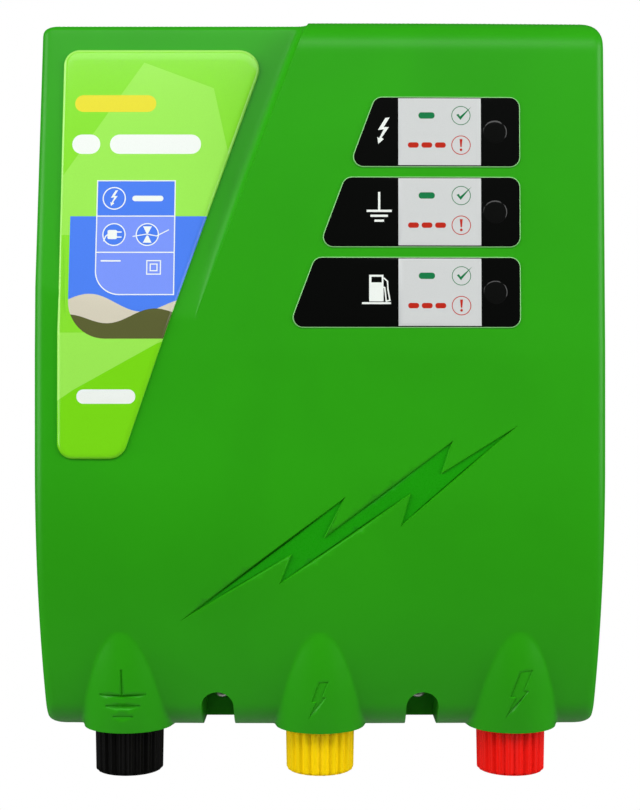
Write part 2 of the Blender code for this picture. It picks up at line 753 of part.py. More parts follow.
def laminated_transformer(name, centre, width, height, stack):
    """A shell-type transformer: a framed core with a middle limb, and a winding round that limb."""
    centre = Vector(centre)
    limb = width * 0.30
    window = width * 0.20
    frame = width * 0.15
    size = Vector((width, stack, height))
    core = block(name + "_core", centre - size / 2, centre + size / 2, "iron")
    for side in (-1, 1):
        middle = centre + Vector((side * (limb + window) / 2, 0, 0))
        reach = Vector((window, stack * 2, height - 2 * frame)) / 2
        cut(core, block(f"{name}_window_{side + 1}", middle - reach, middle + reach))
    room = Vector((limb + 2 * window, stack + 1.6 * window, height - 2 * frame)) / 2
    coil_reach = room - Vector((2 * GAP, 0, 2 * GAP))
    coil = block(
        name + "_winding", centre - coil_reach, centre + coil_reach, "winding", "Z", window * 0.3, 3
    )
    bore = Vector((limb + 4 * GAP, stack + 4 * GAP, height * 2)) / 2
    cut(coil, block(name + "_coil_bore", centre - bore, centre + bore))


def make_board():
    size = BOARD_SIZE / 2
    centre = Vector((0, BOARD_Y, BOARD_Z))
    board = block("main_board", centre - size, centre + size, "board")
    for index, (x, z) in enumerate(board_posts()):
        cut(board, rod(f"board_hole_{index}", (x, -0.020, z), (x, -0.005, z), 0.0018, segments=12))
        screw(f"board_screw_{index + 1}", (x, BOARD_FRONT, z), 0.008, 0.0013, 0.0030)


def make_electronics():
    capacitor = Vector((0.042, 0.038, 0.030))
    for index, (x, z) in enumerate([(x, z) for z in (0.050, 0.084) for x in (0.022, 0.068)]):
        centre = Vector((x, BOARD_FRONT - capacitor.y / 2, z))
        block(
            f"storage_capacitor_{index + 1}", centre - capacitor / 2, centre + capacitor / 2,
            "capacitor", "Y", 0.003, 2,
        )
    laminated_transformer("output_transformer", (0.030, BOARD_FRONT - 0.0216, -0.042), 0.066, 0.056, 0.022)
    laminated_transformer("supply_transformer", (-0.060, BOARD_FRONT - 0.0140, 0.075), 0.042, 0.036, 0.014)
    make_heatsink()
    make_fuse()
    inlet = block(
        "mains_terminal_block", (-0.042, BOARD_FRONT - 0.014, -0.084), (-0.014, BOARD_FRONT, -0.072),
        "grey_plastic",
    )
    for index in range(3):
        x = -0.037 + 0.009 * index
        cut(inlet, rod(f"mains_way_{index}", (x, -0.020, -0.090), (x, -0.020, -0.078), 0.0022, segments=12))


def make_heatsink():
    """A finned extrusion standing on the board, with the switching thyristor on its back."""
    left, low, base, fin_height, pitch, fins = -0.084, -0.012, 0.003, 0.020, 0.007, 7
    points = [(left, low), (left + (fins - 1) * pitch + 0.002, low)]
    for index in reversed(range(fins)):
        x = left + index * pitch
        points += [(x + 0.002, low + base + fin_height), (x, low + base + fin_height)]
        if index:
            points += [(x, low + base), (x - pitch + 0.002, low + base)]
    outline_plate("heatsink", points, BOARD_FRONT - 0.030, BOARD_FRONT, "aluminium")
    block(
        "thyristor", (-0.071, BOARD_FRONT - 0.024, low - 0.0053), (-0.055, BOARD_FRONT - 0.004, low - GAP),
        "black",
    )


def make_fuse():
    """A glass fuse lying in its open holder."""
    x, z = -0.070, -0.060
    middle = BOARD_FRONT - 0.0075
    holder = block(
        "fuse_holder", (x - 0.015, BOARD_FRONT - 0.009, z - 0.005), (x + 0.015, BOARD_FRONT, z + 0.005),
        "black",
    )
    floor = BOARD_FRONT - 0.004
    trough = block("fuse_trough", (x - 0.013, -0.040, z - 0.0032), (x + 0.013, floor, z + 0.0032))
    cut(holder, trough)
    rod("mains_fuse", (x - 0.0115, middle, z), (x + 0.0115, middle, z), 0.0026, "glass", 16)


def make_gland():
    """The mains lead's gland: a body through the lower wall, its lock nut inside and its cap outside."""
    at = (GLAND.x, GLAND.y, 0)
    face = GLAND.z
    turned(
        "mains_gland_body",
        [(GLAND_THREAD_RADIUS, face + 0.0100), (GLAND_THREAD_RADIUS, face - GAP),
         (0.0105, face - GAP), (0.0105, face - 0.0040),
         (0.0078, face - 0.0040), (0.0078, face - 0.0110), (0.0042, face - 0.0110), (0.0042, face + 0.0100)],
        "black", at, ring=True,
    )
    inside = face + SHELL_WALL + GAP
    hex_nut(
        "mains_gland_locknut", (GLAND.x, GLAND.y), inside, inside + 0.0040, 0.0125, GLAND_HOLE_RADIUS, "black"
    )
    turned(
        "mains_gland_cap",
        [(0.0104, face - 0.0043), (0.0104, face - 0.0100), (0.0075, face - 0.0150), (0.0045, face - 0.0150),
         (0.0045, face - 0.0113), (0.0081, face - 0.0113), (0.0081, face - 0.0043)],
        "black", at, ring=True,
    )


# ---------------------------------------------------------------- assembly


clear_scene()
PARTS = new_collection("fence_energizer")
TOOLS = new_collection("cutters")
TOOLS.hide_render = True

make_cover()
make_shell()
make_seal()
make_label()
make_indicators()
make_ribbon()
for terminal, colour in zip(TERMINALS, ("black", "yellow", "red")):
    make_terminal(terminal, TERMINALS[terminal], colour)
make_leads()
make_board()
make_electronics()
make_gland()
for side, pocket_x in (("left", -POCKET_X), ("right", POCKET_X)):
    screw(side + "_cover_screw", (pocket_x, POCKET_BACK - GAP, SCREW_Z), 0.016, 0.0017, 0.0041)
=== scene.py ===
"""Looks for a wall-hung fence energizer: a green moulded housing with a domed label, three indicator
films and three fluted terminal knobs. Metres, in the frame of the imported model: +Z up, front along -Y.
"""

import json
import math

import bmesh
import bpy
import numpy as np
from mathutils import Matrix, Vector
from mathutils.geometry import delaunay_2d_cdt


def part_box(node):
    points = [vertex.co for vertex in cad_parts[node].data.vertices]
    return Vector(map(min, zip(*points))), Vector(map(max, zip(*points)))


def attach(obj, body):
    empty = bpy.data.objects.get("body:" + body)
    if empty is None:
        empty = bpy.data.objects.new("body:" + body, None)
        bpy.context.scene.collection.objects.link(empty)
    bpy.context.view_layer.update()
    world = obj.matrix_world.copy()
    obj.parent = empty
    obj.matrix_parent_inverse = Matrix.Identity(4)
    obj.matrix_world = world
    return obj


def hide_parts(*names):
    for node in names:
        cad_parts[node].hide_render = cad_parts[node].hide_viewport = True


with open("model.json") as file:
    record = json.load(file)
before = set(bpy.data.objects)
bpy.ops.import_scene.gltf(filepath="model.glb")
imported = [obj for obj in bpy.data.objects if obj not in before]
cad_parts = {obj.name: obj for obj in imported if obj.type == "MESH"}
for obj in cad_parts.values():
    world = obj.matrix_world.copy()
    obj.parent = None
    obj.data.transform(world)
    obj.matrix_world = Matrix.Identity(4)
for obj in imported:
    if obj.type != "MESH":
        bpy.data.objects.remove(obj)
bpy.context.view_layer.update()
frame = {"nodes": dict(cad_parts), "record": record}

NODES = frame["nodes"]
OPENINGS = frame["record"]["physics"]["openings"]
MM = 0.001

# ---- what the frame gives

COVER_LOW, COVER_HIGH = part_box("front_cover")
SHELL_LOW, SHELL_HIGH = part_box("rear_shell")
SEAL_LOW, SEAL_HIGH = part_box("housing_seal")
LABEL_LOW, LABEL_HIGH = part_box("label_plate")
HALF_WIDTH = COVER_HIGH.x
TOP, BOTTOM = SHELL_HIGH.z, SHELL_LOW.z
FRONT = COVER_LOW.y
COVER_BACK = SEAL_LOW.y + 0.2 * MM
SHELL_FRONT = SEAL_HIGH.y - 0.2 * MM
TERMINALS = {"earth": "knob_black", "low_output": "knob_yellow", "high_output": "knob_red"}


def middle(node):
    low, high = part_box(node)
    return (low + high) / 2


TERMINAL_AT = {name: middle(name + "_stud") for name in TERMINALS}
SCREW_AT = {side: middle(side + "_cover_screw") for side in ("left", "right")}
SLOT_BOXES = [opening["box_m"] for opening in OPENINGS if opening["name"].endswith("keyhole_entry")]
SLOTS_AT = [Vector(((low[0] + high[0]) / 2, (low[2] + high[2]) / 2)) for low, high in SLOT_BOXES]

# ---- shape of the moulding, as in the model

WALL = 2.5 * MM
SHELL_WALL = 3 * MM
SIDE_ROUND = 4 * MM
TOP_ROUND = 14 * MM
RECESS_TOP_ROUND = 2.5 * MM
BOTTOM_ROUND = 12 * MM
CROWN = 2 * MM
LEAN_START, LEAN_SLOPE = 0.012, 0.034
BELLY_START, BELLY_RADIUS = -0.033, 0.228
RECESS_START, RECESS_SLOPE = 0.0195, 0.150
STEP_LOW_X, STEP_LOW_Z, STEP_SLOPE, STEP_RUN = -0.053, 0.020, 0.374, 0.005
HOOD_RADIUS = 19.3 * MM
HOOD_APEX, HOOD_BEND = -0.1037, 4.4
HOOD_CREST, HOOD_CREST_BEND = 0.012, 31.0
HOOD_ROUND_FROM = 0.014
HOOD_FLARE, HOOD_FLARE_RUN = -0.134, 0.012
HOOD_MARGIN = 0.008
WELL_RADIUS, WELL_REACH, WELL_WALL = 17.3 * MM, 5.5 * MM, 2.2 * MM
WELL_CEILING, WELL_ROOF = -0.1335, 3 * MM
STUD_HOLE_RADIUS = 4.3 * MM
POCKET_RADIUS, POCKET_WALL = 6.85 * MM, 2 * MM
POCKET_Z, POCKET_BACK = -0.1367, -0.055
RIM_BEVEL = 0.25 * MM
BACK_ROUND = 3.5 * MM
BOLT_DEPTH, BOLT_DRAFT = 0.9 * MM, 0.4 * MM
SIGN_DEPTH, SIGN_DRAFT = 0.6 * MM, 0.35 * MM

# The face's mesh: its spacing at the hoods, how much coarser it is above them, and the height from which
# lines of edges follow the sides and the step
FINE, COARSER, LINES_FROM = 0.75 * MM, 2.5, 0.012
BOLT_FLOOR = 2  # of the shapes the face is cut into: 0 is its outline, 1 the bolt's edge, 2 the bolt's floor

# Hanging slots in the back, and the shallow tray round them
SLOT_HEAD, SLOT_SHANK, SLOT_RISE, SLOT_DEPTH = 5 * MM, 2.5 * MM, 9 * MM, 6.5 * MM
TRAY_EDGE, TRAY_DEPTH = 12 * MM, 0.8 * MM
RIBS, RIB_PITCH, RIB_HALF, RIB_REACH = 5, 30 * MM, 1 * MM, 85 * MM
GLAND_HOLE_RADIUS = 8.3 * MM
CLEAR = 10 * MM  # how far a cutter runs past what it cuts

LABEL_SLOPE, LABEL_PROUD, LABEL_EDGE = 0.3434, 1.5 * MM, 2.2 * MM
FILM_PROUD, FILM_EDGE, FILM_ROUND = 0.5 * MM, 0.3 * MM, 4 * MM
PRINT_SPACING = 2.5 * MM
LENS_RADIUS = 4.9 * MM
FLUTES, FLUTE_DEPTH = 22, 1.2 * MM
THREAD_PITCH, THREAD_DEPTH, THREAD_CHAMFER = 1.25 * MM, 0.6 * MM, 0.7 * MM
CAP_RIBS, CAP_RIB_DEPTH = 18, 0.4 * MM

# Corner radii seen from the front, as (across, up): upper right, upper left, lower left, lower right
CORNERS = ((7 * MM, 10 * MM), (4 * MM, 4 * MM), (5 * MM, 5 * MM), (5 * MM, 5 * MM))


# ---- materials


def new_material(name, roughness=0.4, metallic=0.0, **sockets):
    made = bpy.data.materials.new(name)
    made.use_nodes = True
    shader = made.node_tree.nodes["Principled BSDF"]
    shader.inputs["Roughness"].default_value = roughness
    shader.inputs["Metallic"].default_value = metallic
    for socket, value in sockets.items():
        shader.inputs[socket.replace("_", " ")].default_value = value
    return made, made.node_tree, shader


def texture(tree, kind, scale, **values):
    """A texture node on the piece's own coordinates."""
    place = tree.nodes.new("ShaderNodeTexCoord")
    node = tree.nodes.new(kind)
    tree.links.new(place.outputs["Object"], node.inputs["Vector"])
    node.inputs["Scale"].default_value = scale
    for name, value in values.items():
        if name in node.inputs:
            node.inputs[name].default_value = value
        else:
            setattr(node, name, value)
    return node


def blend_colour(tree, shader, factor, first, second, low=0.3, high=0.7):
    """Colours the shader from first to second as the factor goes from low to high."""
    ramp = tree.nodes.new("ShaderNodeValToRGB")
    for stop, position, colour in zip(ramp.color_ramp.elements, (low, high), (first, second)):
        stop.position = position
        stop.color = (*colour, 1)
    tree.links.new(factor, ramp.inputs["Fac"])
    tree.links.new(ramp.outputs["Color"], shader.inputs["Base Color"])


def vary(tree, factor, socket, low, high):
    """Drives a socket from low to high by a factor."""
    spread = tree.nodes.new("ShaderNodeMapRange")
    for name, value in (("From Min", 0.3), ("From Max", 0.7), ("To Min", low), ("To Max", high)):
        spread.inputs[name].default_value = value
    tree.links.new(factor, spread.inputs["Value"])
    tree.links.new(spread.outputs["Result"], socket)


def roughen(tree, shader, height, strength, depth):
    """A fine bump from a height."""
    bump = tree.nodes.new("ShaderNodeBump")
    bump.inputs["Strength"].default_value = strength
    bump.inputs["Distance"].default_value = depth
    tree.links.new(height, bump.inputs["Height"])
    tree.links.new(bump.outputs["Normal"], shader.inputs["Normal"])


def srgb(red, green, blue):
    """A linear colour from 0 to 255 display values."""
    return tuple(
        value / 255 / 12.92 if value < 10.3 else ((value / 255 + 0.055) / 1.055) ** 2.4
        for value in (red, green, blue)
    )


def shade(colour, share):
    return tuple(min(value * share, 1.0) for value in colour)


def moulded_plastic(name, colour, roughness, grain, sheen):
    """Moulded plastic: flow marks in the colour, a fine eroded grain and uneven gloss."""
    made, tree, shader = new_material(name, roughness, Specular_IOR_Level=sheen)
    flow = texture(tree, "ShaderNodeTexNoise", 14.0, Detail=4.0, Distortion=0.6)
    blend_colour(tree, shader, flow.outputs["Fac"], shade(colour, 0.95), shade(colour, 1.05))
    fine = texture(tree, "ShaderNodeTexNoise", 1500.0, Detail=3.0)
    vary(tree, fine.outputs["Fac"], shader.inputs["Roughness"], roughness - 0.04, roughness + 0.06)
    roughen(tree, shader, fine.outputs["Fac"], grain, 0.00003)
    return made


def print_ink(name, colour, roughness, coat):
    """Ink under a clear film: an even colour with a faint print screen, and a smooth coat."""
    finish = {"Coat_Weight": coat, "Coat_Roughness": 0.12, "Specular_IOR_Level": 0.15}
    made, tree, shader = new_material(name, roughness, **finish)
    screen = texture(tree, "ShaderNodeTexVoronoi", 5000.0)
    tints = shade(colour, 1.03), shade(colour, 0.96)
    blend_colour(tree, shader, screen.outputs["Distance"], *tints, low=0.1, high=0.8)
    ripple = texture(tree, "ShaderNodeTexNoise", 60.0, Detail=2.0)
    roughen(tree, shader, ripple.outputs["Fac"], 0.08, 0.0002)
    return made


def worked_metal(name, colour, roughness, fineness):
    """Plated or turned metal with fine tool lines and uneven dullness."""
    made, tree, shader = new_material(name, roughness, 1.0)
    stain = texture(tree, "ShaderNodeTexNoise", 120.0, Detail=5.0)
    blend_colour(tree, shader, stain.outputs["Fac"], shade(colour, 0.82), shade(colour, 1.08))
    lines = texture(tree, "ShaderNodeTexWave", fineness, Distortion=2.0, Detail=2.0, bands_direction="Z")
    vary(tree, stain.outputs["Fac"], shader.inputs["Roughness"], roughness - 0.08, roughness + 0.12)
    roughen(tree, shader, lines.outputs["Fac"], 0.12, 0.00004)
    return made


def banded(name, first, second, scale, direction, roughness, metallic=0.0):
    """Fine even bands, as on stacked laminations or a wound coil."""
    made, tree, shader = new_material(name, roughness, metallic)
    turns = {"Distortion": 0.3, "Detail": 1.0, "bands_direction": direction}
    bands = texture(tree, "ShaderNodeTexWave", scale, **turns)
    blend_colour(tree, shader, bands.outputs["Fac"], first, second, 0.2, 0.6)
    roughen(tree, shader, bands.outputs["Fac"], 0.4, 0.0002)
    return made


def circuit_board(name):
    """Green solder mask over copper tracks, with tinned pads."""
    made, tree, shader = new_material(name, 0.35, Coat_Weight=0.3)
    tracks = texture(tree, "ShaderNodeTexBrick", 90.0)
    greens = {"Color1": (24, 104, 52), "Color2": (30, 118, 60), "Mortar": (52, 140, 70)}
    for socket, colour in greens.items():
        tracks.inputs[socket].default_value = (*srgb(*colour), 1)
    tracks.inputs["Mortar Size"].default_value = 0.03
    tree.links.new(tracks.outputs["Color"], shader.inputs["Base Color"])
    roughen(tree, shader, tracks.outputs["Fac"], 0.3, 0.00005)
    return made


def clear_glass(name):
    made, tree, shader = new_material(name, 0.05, IOR=1.5, Transmission_Weight=0.85)
    haze = texture(tree, "ShaderNodeTexNoise", 300.0, Detail=2.0)
    blend_colour(tree, shader, haze.outputs["Fac"], srgb(226, 232, 226), srgb(244, 246, 242))
    return made


def cast_rubber(name):
    made, tree, shader = new_material(name, 0.8, Specular_IOR_Level=0.25)
    bloom = texture(tree, "ShaderNodeTexNoise", 400.0, Detail=6.0)
    blend_colour(tree, shader, bloom.outputs["Fac"], srgb(26, 26, 25), srgb(44, 44, 42))
    roughen(tree, shader, bloom.outputs["Fac"], 0.4, 0.0001)
    return made


# Colour, roughness, strength of the grain, strength of the sheen
PLASTICS = {
    "housing_green": ((42, 160, 12), 0.36, 0.25, 0.2),
    # the engraved bolt's floor: glossier as its own finish, and a darker green as painted shade in the recess
    "green_polished_shaded": ((26, 157, 8), 0.28, 0.1, 0.2),
    "knob_black": ((4, 4, 3), 0.42, 0.25, 0.1),
    "knob_yellow": ((255, 214, 1), 0.40, 0.25, 0.1),
    "knob_red": ((244, 20, 8), 0.40, 0.25, 0.2),
    "black_plastic": ((24, 24, 23), 0.50, 0.4, 0.2),
    "grey_plastic": ((130, 132, 132), 0.50, 0.25, 0.2),
    "capacitor_blue": ((48, 92, 168), 0.35, 0.25, 0.2),
}

# Colour, roughness, weight of the clear coat
INKS = {
    "label_lime": ((136, 226, 48), 0.25, 0.4),
    "lime_light": ((156, 234, 84), 0.25, 0.4),
    "lime_deep": ((122, 219, 20), 0.25, 0.4),
    # a lighter lime for the label's outer ring: a painted highlight along its domed rim
    "lime_rim": ((166, 236, 104), 0.25, 0.4),
    "blue": ((76, 128, 240), 0.25, 0.4),
    "blue_light": ((122, 150, 248), 0.25, 0.4),
    "white": ((240, 246, 240), 0.25, 0.4),
    "yellow": ((232, 222, 50), 0.25, 0.4),
    "hill_far": ((214, 208, 188), 0.25, 0.4),
    "hill_near": ((92, 96, 52), 0.25, 0.4),
    "panel_black": ((5, 6, 5), 0.25, 0.0),
    "lens_dark": ((12, 13, 12), 0.10, 0.3),
    # a light grey-green for each film's outer ring: a painted highlight along its edge
    "film_edge": ((140, 205, 130), 0.2, 0.2),
    "window_grey": ((209, 212, 211), 0.35, 0.2),
    "sign_green": ((22, 122, 70), 0.35, 0.2),
    "sign_red": ((188, 40, 24), 0.35, 0.2),
}

# Colour, roughness, fineness of the tool lines
METALS = {
    "steel": ((196, 196, 192), 0.32, 900.0),
    "brass": ((212, 178, 106), 0.30, 900.0),
    "aluminium": ((198, 200, 203), 0.38, 500.0),
}

PAINTS = {
    **{name: moulded_plastic(name, srgb(*colour), *rest) for name, (colour, *rest) in PLASTICS.items()},
    **{name: print_ink(name, srgb(*colour), *rest) for name, (colour, *rest) in INKS.items()},
    **{name: worked_metal(name, srgb(*colour), *rest) for name, (colour, *rest) in METALS.items()},
    "iron": banded("iron", srgb(70, 70, 73), srgb(126, 126, 130), 300.0, "Y", 0.5, 1.0),
    "winding": banded("winding", srgb(120, 52, 18), srgb(188, 98, 46), 350.0, "Z", 0.4),
    "circuit_board": circuit_board("circuit_board"),
    "seal_rubber": cast_rubber("seal_rubber"),
    "clear_glass": clear_glass("clear_glass"),
}

for part in frame["record"]["subparts"]:
    mesh = NODES[part["node"]].data
    mesh.materials.clear()
    mesh.materials.append(PAINTS[part["material_slot"]])


# ---- mesh helpers

SHARP = 35.0


def placed(name, data):
    """A new object in the scene."""
    obj = bpy.data.objects.new(name, data)
    bpy.context.scene.collection.objects.link(obj)
    return obj


def as_object(name, bm, paints, sharp=SHARP):
    """An object from a closed bmesh, shaded smooth but for its creases."""
    bmesh.ops.recalc_face_normals(bm, faces=bm.faces)
    made = bpy.data.meshes.new(name)
    bm.to_mesh(made)
    bm.free()
    made.shade_smooth()
    made.set_sharp_from_angle(angle=math.radians(sharp))
    for paint in paints:
        made.materials.append(PAINTS[paint])
    return placed(name, made)


def carve(target, tools, operation="DIFFERENCE"):
    """Applies Booleans with the tools to the target, and removes the tools."""
    for tool in tools:
        step = target.modifiers.new(tool.name, "BOOLEAN")
        step.operation = operation
        step.solver = "MANIFOLD"
        step.object = tool
    bpy.context.view_layer.update()
    shaped = bpy.data.meshes.new_from_object(target.evaluated_get(bpy.context.evaluated_depsgraph_get()))
    target.modifiers.clear()
    finishes = len(target.data.materials)
    target.data = shaped
    for face in shaped.polygons:
        if face.material_index >= finishes:
            face.material_index = 0
    while len(shaped.materials) > finishes:
        shaped.materials.pop()
    shaped.shade_smooth()
    shaped.set_sharp_from_angle(angle=math.radians(SHARP))
    for tool in tools:
        bpy.data.objects.remove(tool)


def adopt(obj, body, slot, *nodes):
    """Puts a finished piece on its body, in place of the CAD nodes. The finish it is given is not used."""
    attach(obj, body)
    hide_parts(*nodes)


def filleted(points, radius, steps=6, closed=True):
    """An outline with its corners turned into arcs, of one radius or one for each corner."""
    points = [Vector(point) for point in points]
    radii = radius if isinstance(radius, (list, tuple)) else [radius] * len(points)
    made = []
    for index, (corner, wanted) in enumerate(zip(points, radii)):
        if wanted <= 0 or (not closed and index in (0, len(points) - 1)):
            made.append(corner)
            continue
        before = points[index - 1] - corner
        after = points[(index + 1) % len(points)] - corner
        half = before.angle(after) / 2
        reach = min(wanted / math.tan(half), 0.49 * before.length, 0.49 * after.length)
        towards = (before.normalized() + after.normalized()).normalized()
        centre = corner + towards * (reach / math.cos(half))
        start = corner + before.normalized() * reach - centre
        end = corner + after.normalized() * reach - centre
        made += [centre + start.slerp(end, step / steps) * start.length for step in range(steps + 1)]
    return made


def arc(at, radius, start, end, steps):
    """Points along an arc, both ends included."""
    turns = [start + (end - start) * step / steps for step in range(steps + 1)]
    return [at + radius * Vector((math.cos(turn), math.sin(turn))) for turn in turns]


def circle(x, z, radius, steps=40):
    return arc(Vector((x, z)), radius, 0.0, math.tau, steps)[:-1]


def rectangle(left, low, right, high, radius=0.0):
    return filleted([(left, low), (right, low), (right, high), (left, high)], radius)


def moved(points, x, z, scale=1.0):
    return [Vector((x + point[0] * scale, z + point[1] * scale)) for point in points]


def stroke(points, width):
    """The outline of a line of one width through the points."""
    points = [Vector(point) for point in points]
    sides = ([], [])
    for index, point in enumerate(points):
        before = (point - points[index - 1]).normalized() if index else None
        after = (points[index + 1] - point).normalized() if index + 1 < len(points) else None
        along = ((before or after) + (after or before)).normalized()
        normal = along.orthogonal()
        reach = width / 2 / max(normal.dot((before or after).orthogonal()), 0.3)
        sides[0].append(point + normal * reach)
        sides[1].append(point - normal * reach)
    return sides[0] + sides[1][::-1]


def area(points):
    pairs = zip(points, [*points[1:], points[0]])
    return sum(a[0] * b[1] - b[0] * a[1] for a, b in pairs) / 2


def inset(points, distance):
    """An outline drawn in by a distance, its corners kept."""
    points = [Vector(point) for point in points]
    if area(points) < 0:
        points.reverse()
    made = []
    for index, point in enumerate(points):
        before = (point - points[index - 1]).normalized()
        after = (points[(index + 1) % len(points)] - point).normalized()
        normal = (before.orthogonal() + after.orthogonal()).normalized()
        made.append(point + normal * (distance / max(normal.dot(before.orthogonal()), 0.05)))
    return made


def signed_distance(points, outline):
    """Distance of each (x, z) point from a closed outline, negative inside it."""
    at = np.asarray(points, float)[:, None, :]
    start = np.asarray(outline, float)[None, :, :]
    end = np.roll(start, -1, axis=1)
    run = end - start
    share = np.clip(((at - start) * run).sum(-1) / (run**2).sum(-1), 0, 1)
    gap = np.linalg.norm(at - start - share[..., None] * run, axis=-1).min(1)
    crosses = (start[..., 1] > at[..., 1]) != (end[..., 1] > at[..., 1])
    rise = np.where(crosses, run[..., 1], 1.0)
    where = start[..., 0] + (at[..., 1] - start[..., 1]) * run[..., 0] / rise
    inside = (crosses & (at[..., 0] < where)).sum(1) % 2 == 1
    return np.where(inside, -gap, gap)


def triangulated(shapes, points=(), lines=()):
    """Triangles over the first shape, which follow the outlines of all shapes.

    Returns the (x, z) vertices, the triangles, and for each triangle the set of shapes that hold it.
    """
    spots, edges, faces = [], [], []
    for shape in shapes:
        start = len(spots)
        spots += [Vector(point) for point in (shape if area(shape) > 0 else shape[::-1])]
        faces.append(list(range(start, len(spots))))
    for line in lines:
        start = len(spots)
        spots += [Vector(point) for point in line]
        edges += [(index, index + 1) for index in range(start, len(spots) - 1)]
    spots += [Vector(point) for point in points]
    spots, _, triangles, _, _, owners = delaunay_2d_cdt(spots, edges, faces, 1, 1e-7, True)
    held = [index for index, owner in enumerate(owners) if 0 in owner]
    return np.array(spots, float), [triangles[index] for index in held], [owners[index] for index in held]


def drop_loose(bm):
    for vert in [vert for vert in bm.verts if not vert.link_faces]:
        bm.verts.remove(vert)


def lofted(name, rings, paints=()):
    """A closed solid through rings of as many points each."""
    bm = bmesh.new()
    loops = [[bm.verts.new(spot) for spot in ring] for ring in rings]
    for first, second in zip(loops, loops[1:]):
        for index in range(len(first)):
            after = (index + 1) % len(first)
            bm.faces.new((first[index], first[after], second[after], second[index]))
    bm.faces.new(loops[0])
    bm.faces.new(loops[-1][::-1])
    return as_object(name, bm, paints)


def standing(outline, y):
    """An (x, z) outline as points at one depth."""
    return [(point[0], y, point[1]) for point in outline]


def prism(name, outline, near, far):
    """A closed prism along Y."""
    return lofted(name, [standing(outline, near), standing(outline, far)])


def upright_prism(name, outline, low, high):
    """A closed prism along Z, from an (x, y) outline."""
    return lofted(name, [[(*point, level) for point in outline] for level in (low, high)])


def lathe(name, profile, paints, at, facing=(0, 0, 1), segments=64, ripple=None, sharp=SHARP):
    """A turned solid from (radius, height) points, which start and end on the axis or close on themselves."""
    bm = bmesh.new()
    rings = []
    for radius, height in profile:
        count = segments if radius > 0 else 1
        ring = []
        for turn in [math.tau * step / segments for step in range(count)]:
            reach = radius - (ripple(turn, height) if ripple and radius > 0 else 0.0)
            ring.append(bm.verts.new((reach * math.cos(turn), reach * math.sin(turn), height)))
        rings.append(ring)
    following = rings[1:] + (rings[:1] if len(rings[0]) > 1 else [])
    for first, second in zip(rings, following):
        for index in range(segments):
            after = (index + 1) % segments
            spots = [(first, index), (first, after), (second, after), (second, index)]
            corners = list(dict.fromkeys(ring[spot % len(ring)] for ring, spot in spots))
            if len(corners) > 2:
                bm.faces.new(corners)
    stand = Matrix.Translation(at) @ Vector(facing).to_track_quat("Z", "Y").to_matrix().to_4x4()
    bmesh.ops.transform(bm, matrix=stand, verts=bm.verts)
    return as_object(name, bm, paints, sharp)


def rod(name, at, radius, low, high):
    """An upright cylinder, as a cutter."""
    return lathe(name, [(0, low), (radius, low), (radius, high), (0, high)], [], (at.x, at.y, 0))


def fluted(obj, at, inner, groove):
    """Cuts grooves, groove(turn, height) deep, into a turned piece that stands at a point."""
    for vert in obj.data.vertices:
        across = Vector((vert.co.x - at.x, vert.co.y - at.y))
        if across.length > inner:
            reach = across.length - groove(math.atan2(across.y, across.x), vert.co.z - at.z)
            vert.co.x = at.x + across.x / across.length * reach
            vert.co.y = at.y + across.y / across.length * reach


def foot_of(node):
    """The radius, height and foot point of an upright turned piece."""
    low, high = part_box(node)
    return (high.x - low.x) / 2, high.z - low.z, Vector(((low.x + high.x) / 2, (low.y + high.y) / 2, low.z))


# ---- the moulded face


def quarter(distance, radius, reach=None):
    """How far a rounded edge has fallen away at this distance in from it. It starts within the reach."""
    share = np.clip(1 - np.asarray(distance) / (reach or radius), 0, 1)
    return radius * (1 - np.sqrt(1 - share**2))


def main_depth(x, z):
    lean = LEAN_SLOPE * np.maximum(z - LEAN_START, 0)
    belly = np.maximum(BELLY_START - z, 0) ** 2 / (2 * BELLY_RADIUS)
    return lean + belly + CROWN * (x / HALF_WIDTH) ** 2


def step_edge(z):
    return STEP_LOW_X + STEP_SLOPE * np.maximum(z - STEP_LOW_Z, 0)


def step_share(x, z, shift=0.0):
    """0 on the main face and 1 on the recessed one, with a hollow curve at the foot of the step."""
    across = np.clip((step_edge(z) + shift - x) / STEP_RUN, 0, 1)
    return np.sqrt(1 - (1 - across) ** 2)


def face_depth(x, z, shift=0.0):
    main = main_depth(x, z)
    recess = np.maximum(main, RECESS_SLOPE * (z - RECESS_START))
    return main + (recess - main) * step_share(x, z, shift)


def half_width_at(x, z, shrink):
    """How far the outline reaches sideways at this height, on the side where x lies."""
    upper_right, upper_left, lower_left, lower_right = CORNERS
    from_edge = np.minimum(TOP - z, z - BOTTOM) - shrink
    top = np.where(x > 0, quarter(from_edge, *upper_right), quarter(from_edge, *upper_left))
    low = np.where(x > 0, quarter(from_edge, *lower_right), quarter(from_edge, *lower_left))
    return HALF_WIDTH - shrink - np.where(z > 0, top, low)


def rounding(x, z, shrink):
    """How far the face has turned back towards the sides, the top and the bottom."""
    from_edge = np.minimum(TOP - z, z - BOTTOM) - shrink
    share = step_share(x, z, shrink)
    top = quarter(from_edge, TOP_ROUND) * (1 - share) + quarter(from_edge, RECESS_TOP_ROUND) * share
    side = quarter(half_width_at(x, z, shrink) - np.abs(x), SIDE_ROUND)
    return side + np.where(z > 0, top, quarter(from_edge, BOTTOM_ROUND))


def hood_depth(x, z, centre):
    """Depth of a terminal hood: its front bends back as it comes down, and it ends round below."""
    drop = HOOD_APEX - z
    front = main_depth(centre, HOOD_APEX) + np.where(drop > 0, HOOD_BEND * drop**2, -drop)
    across = np.abs(x - centre)
    held = np.minimum(across, HOOD_RADIUS * 0.999)
    round_end = HOOD_RADIUS - np.sqrt(HOOD_RADIUS**2 - held**2) + 8 * (across - held)
    crest = np.minimum(across, HOOD_CREST)
    flank = HOOD_CREST_BEND * (crest**2 + 2 * HOOD_CREST * (across - crest))
    share = np.clip((z - BOTTOM) / HOOD_ROUND_FROM, 0, 1)
    return front + round_end * (1 - share) + flank * share


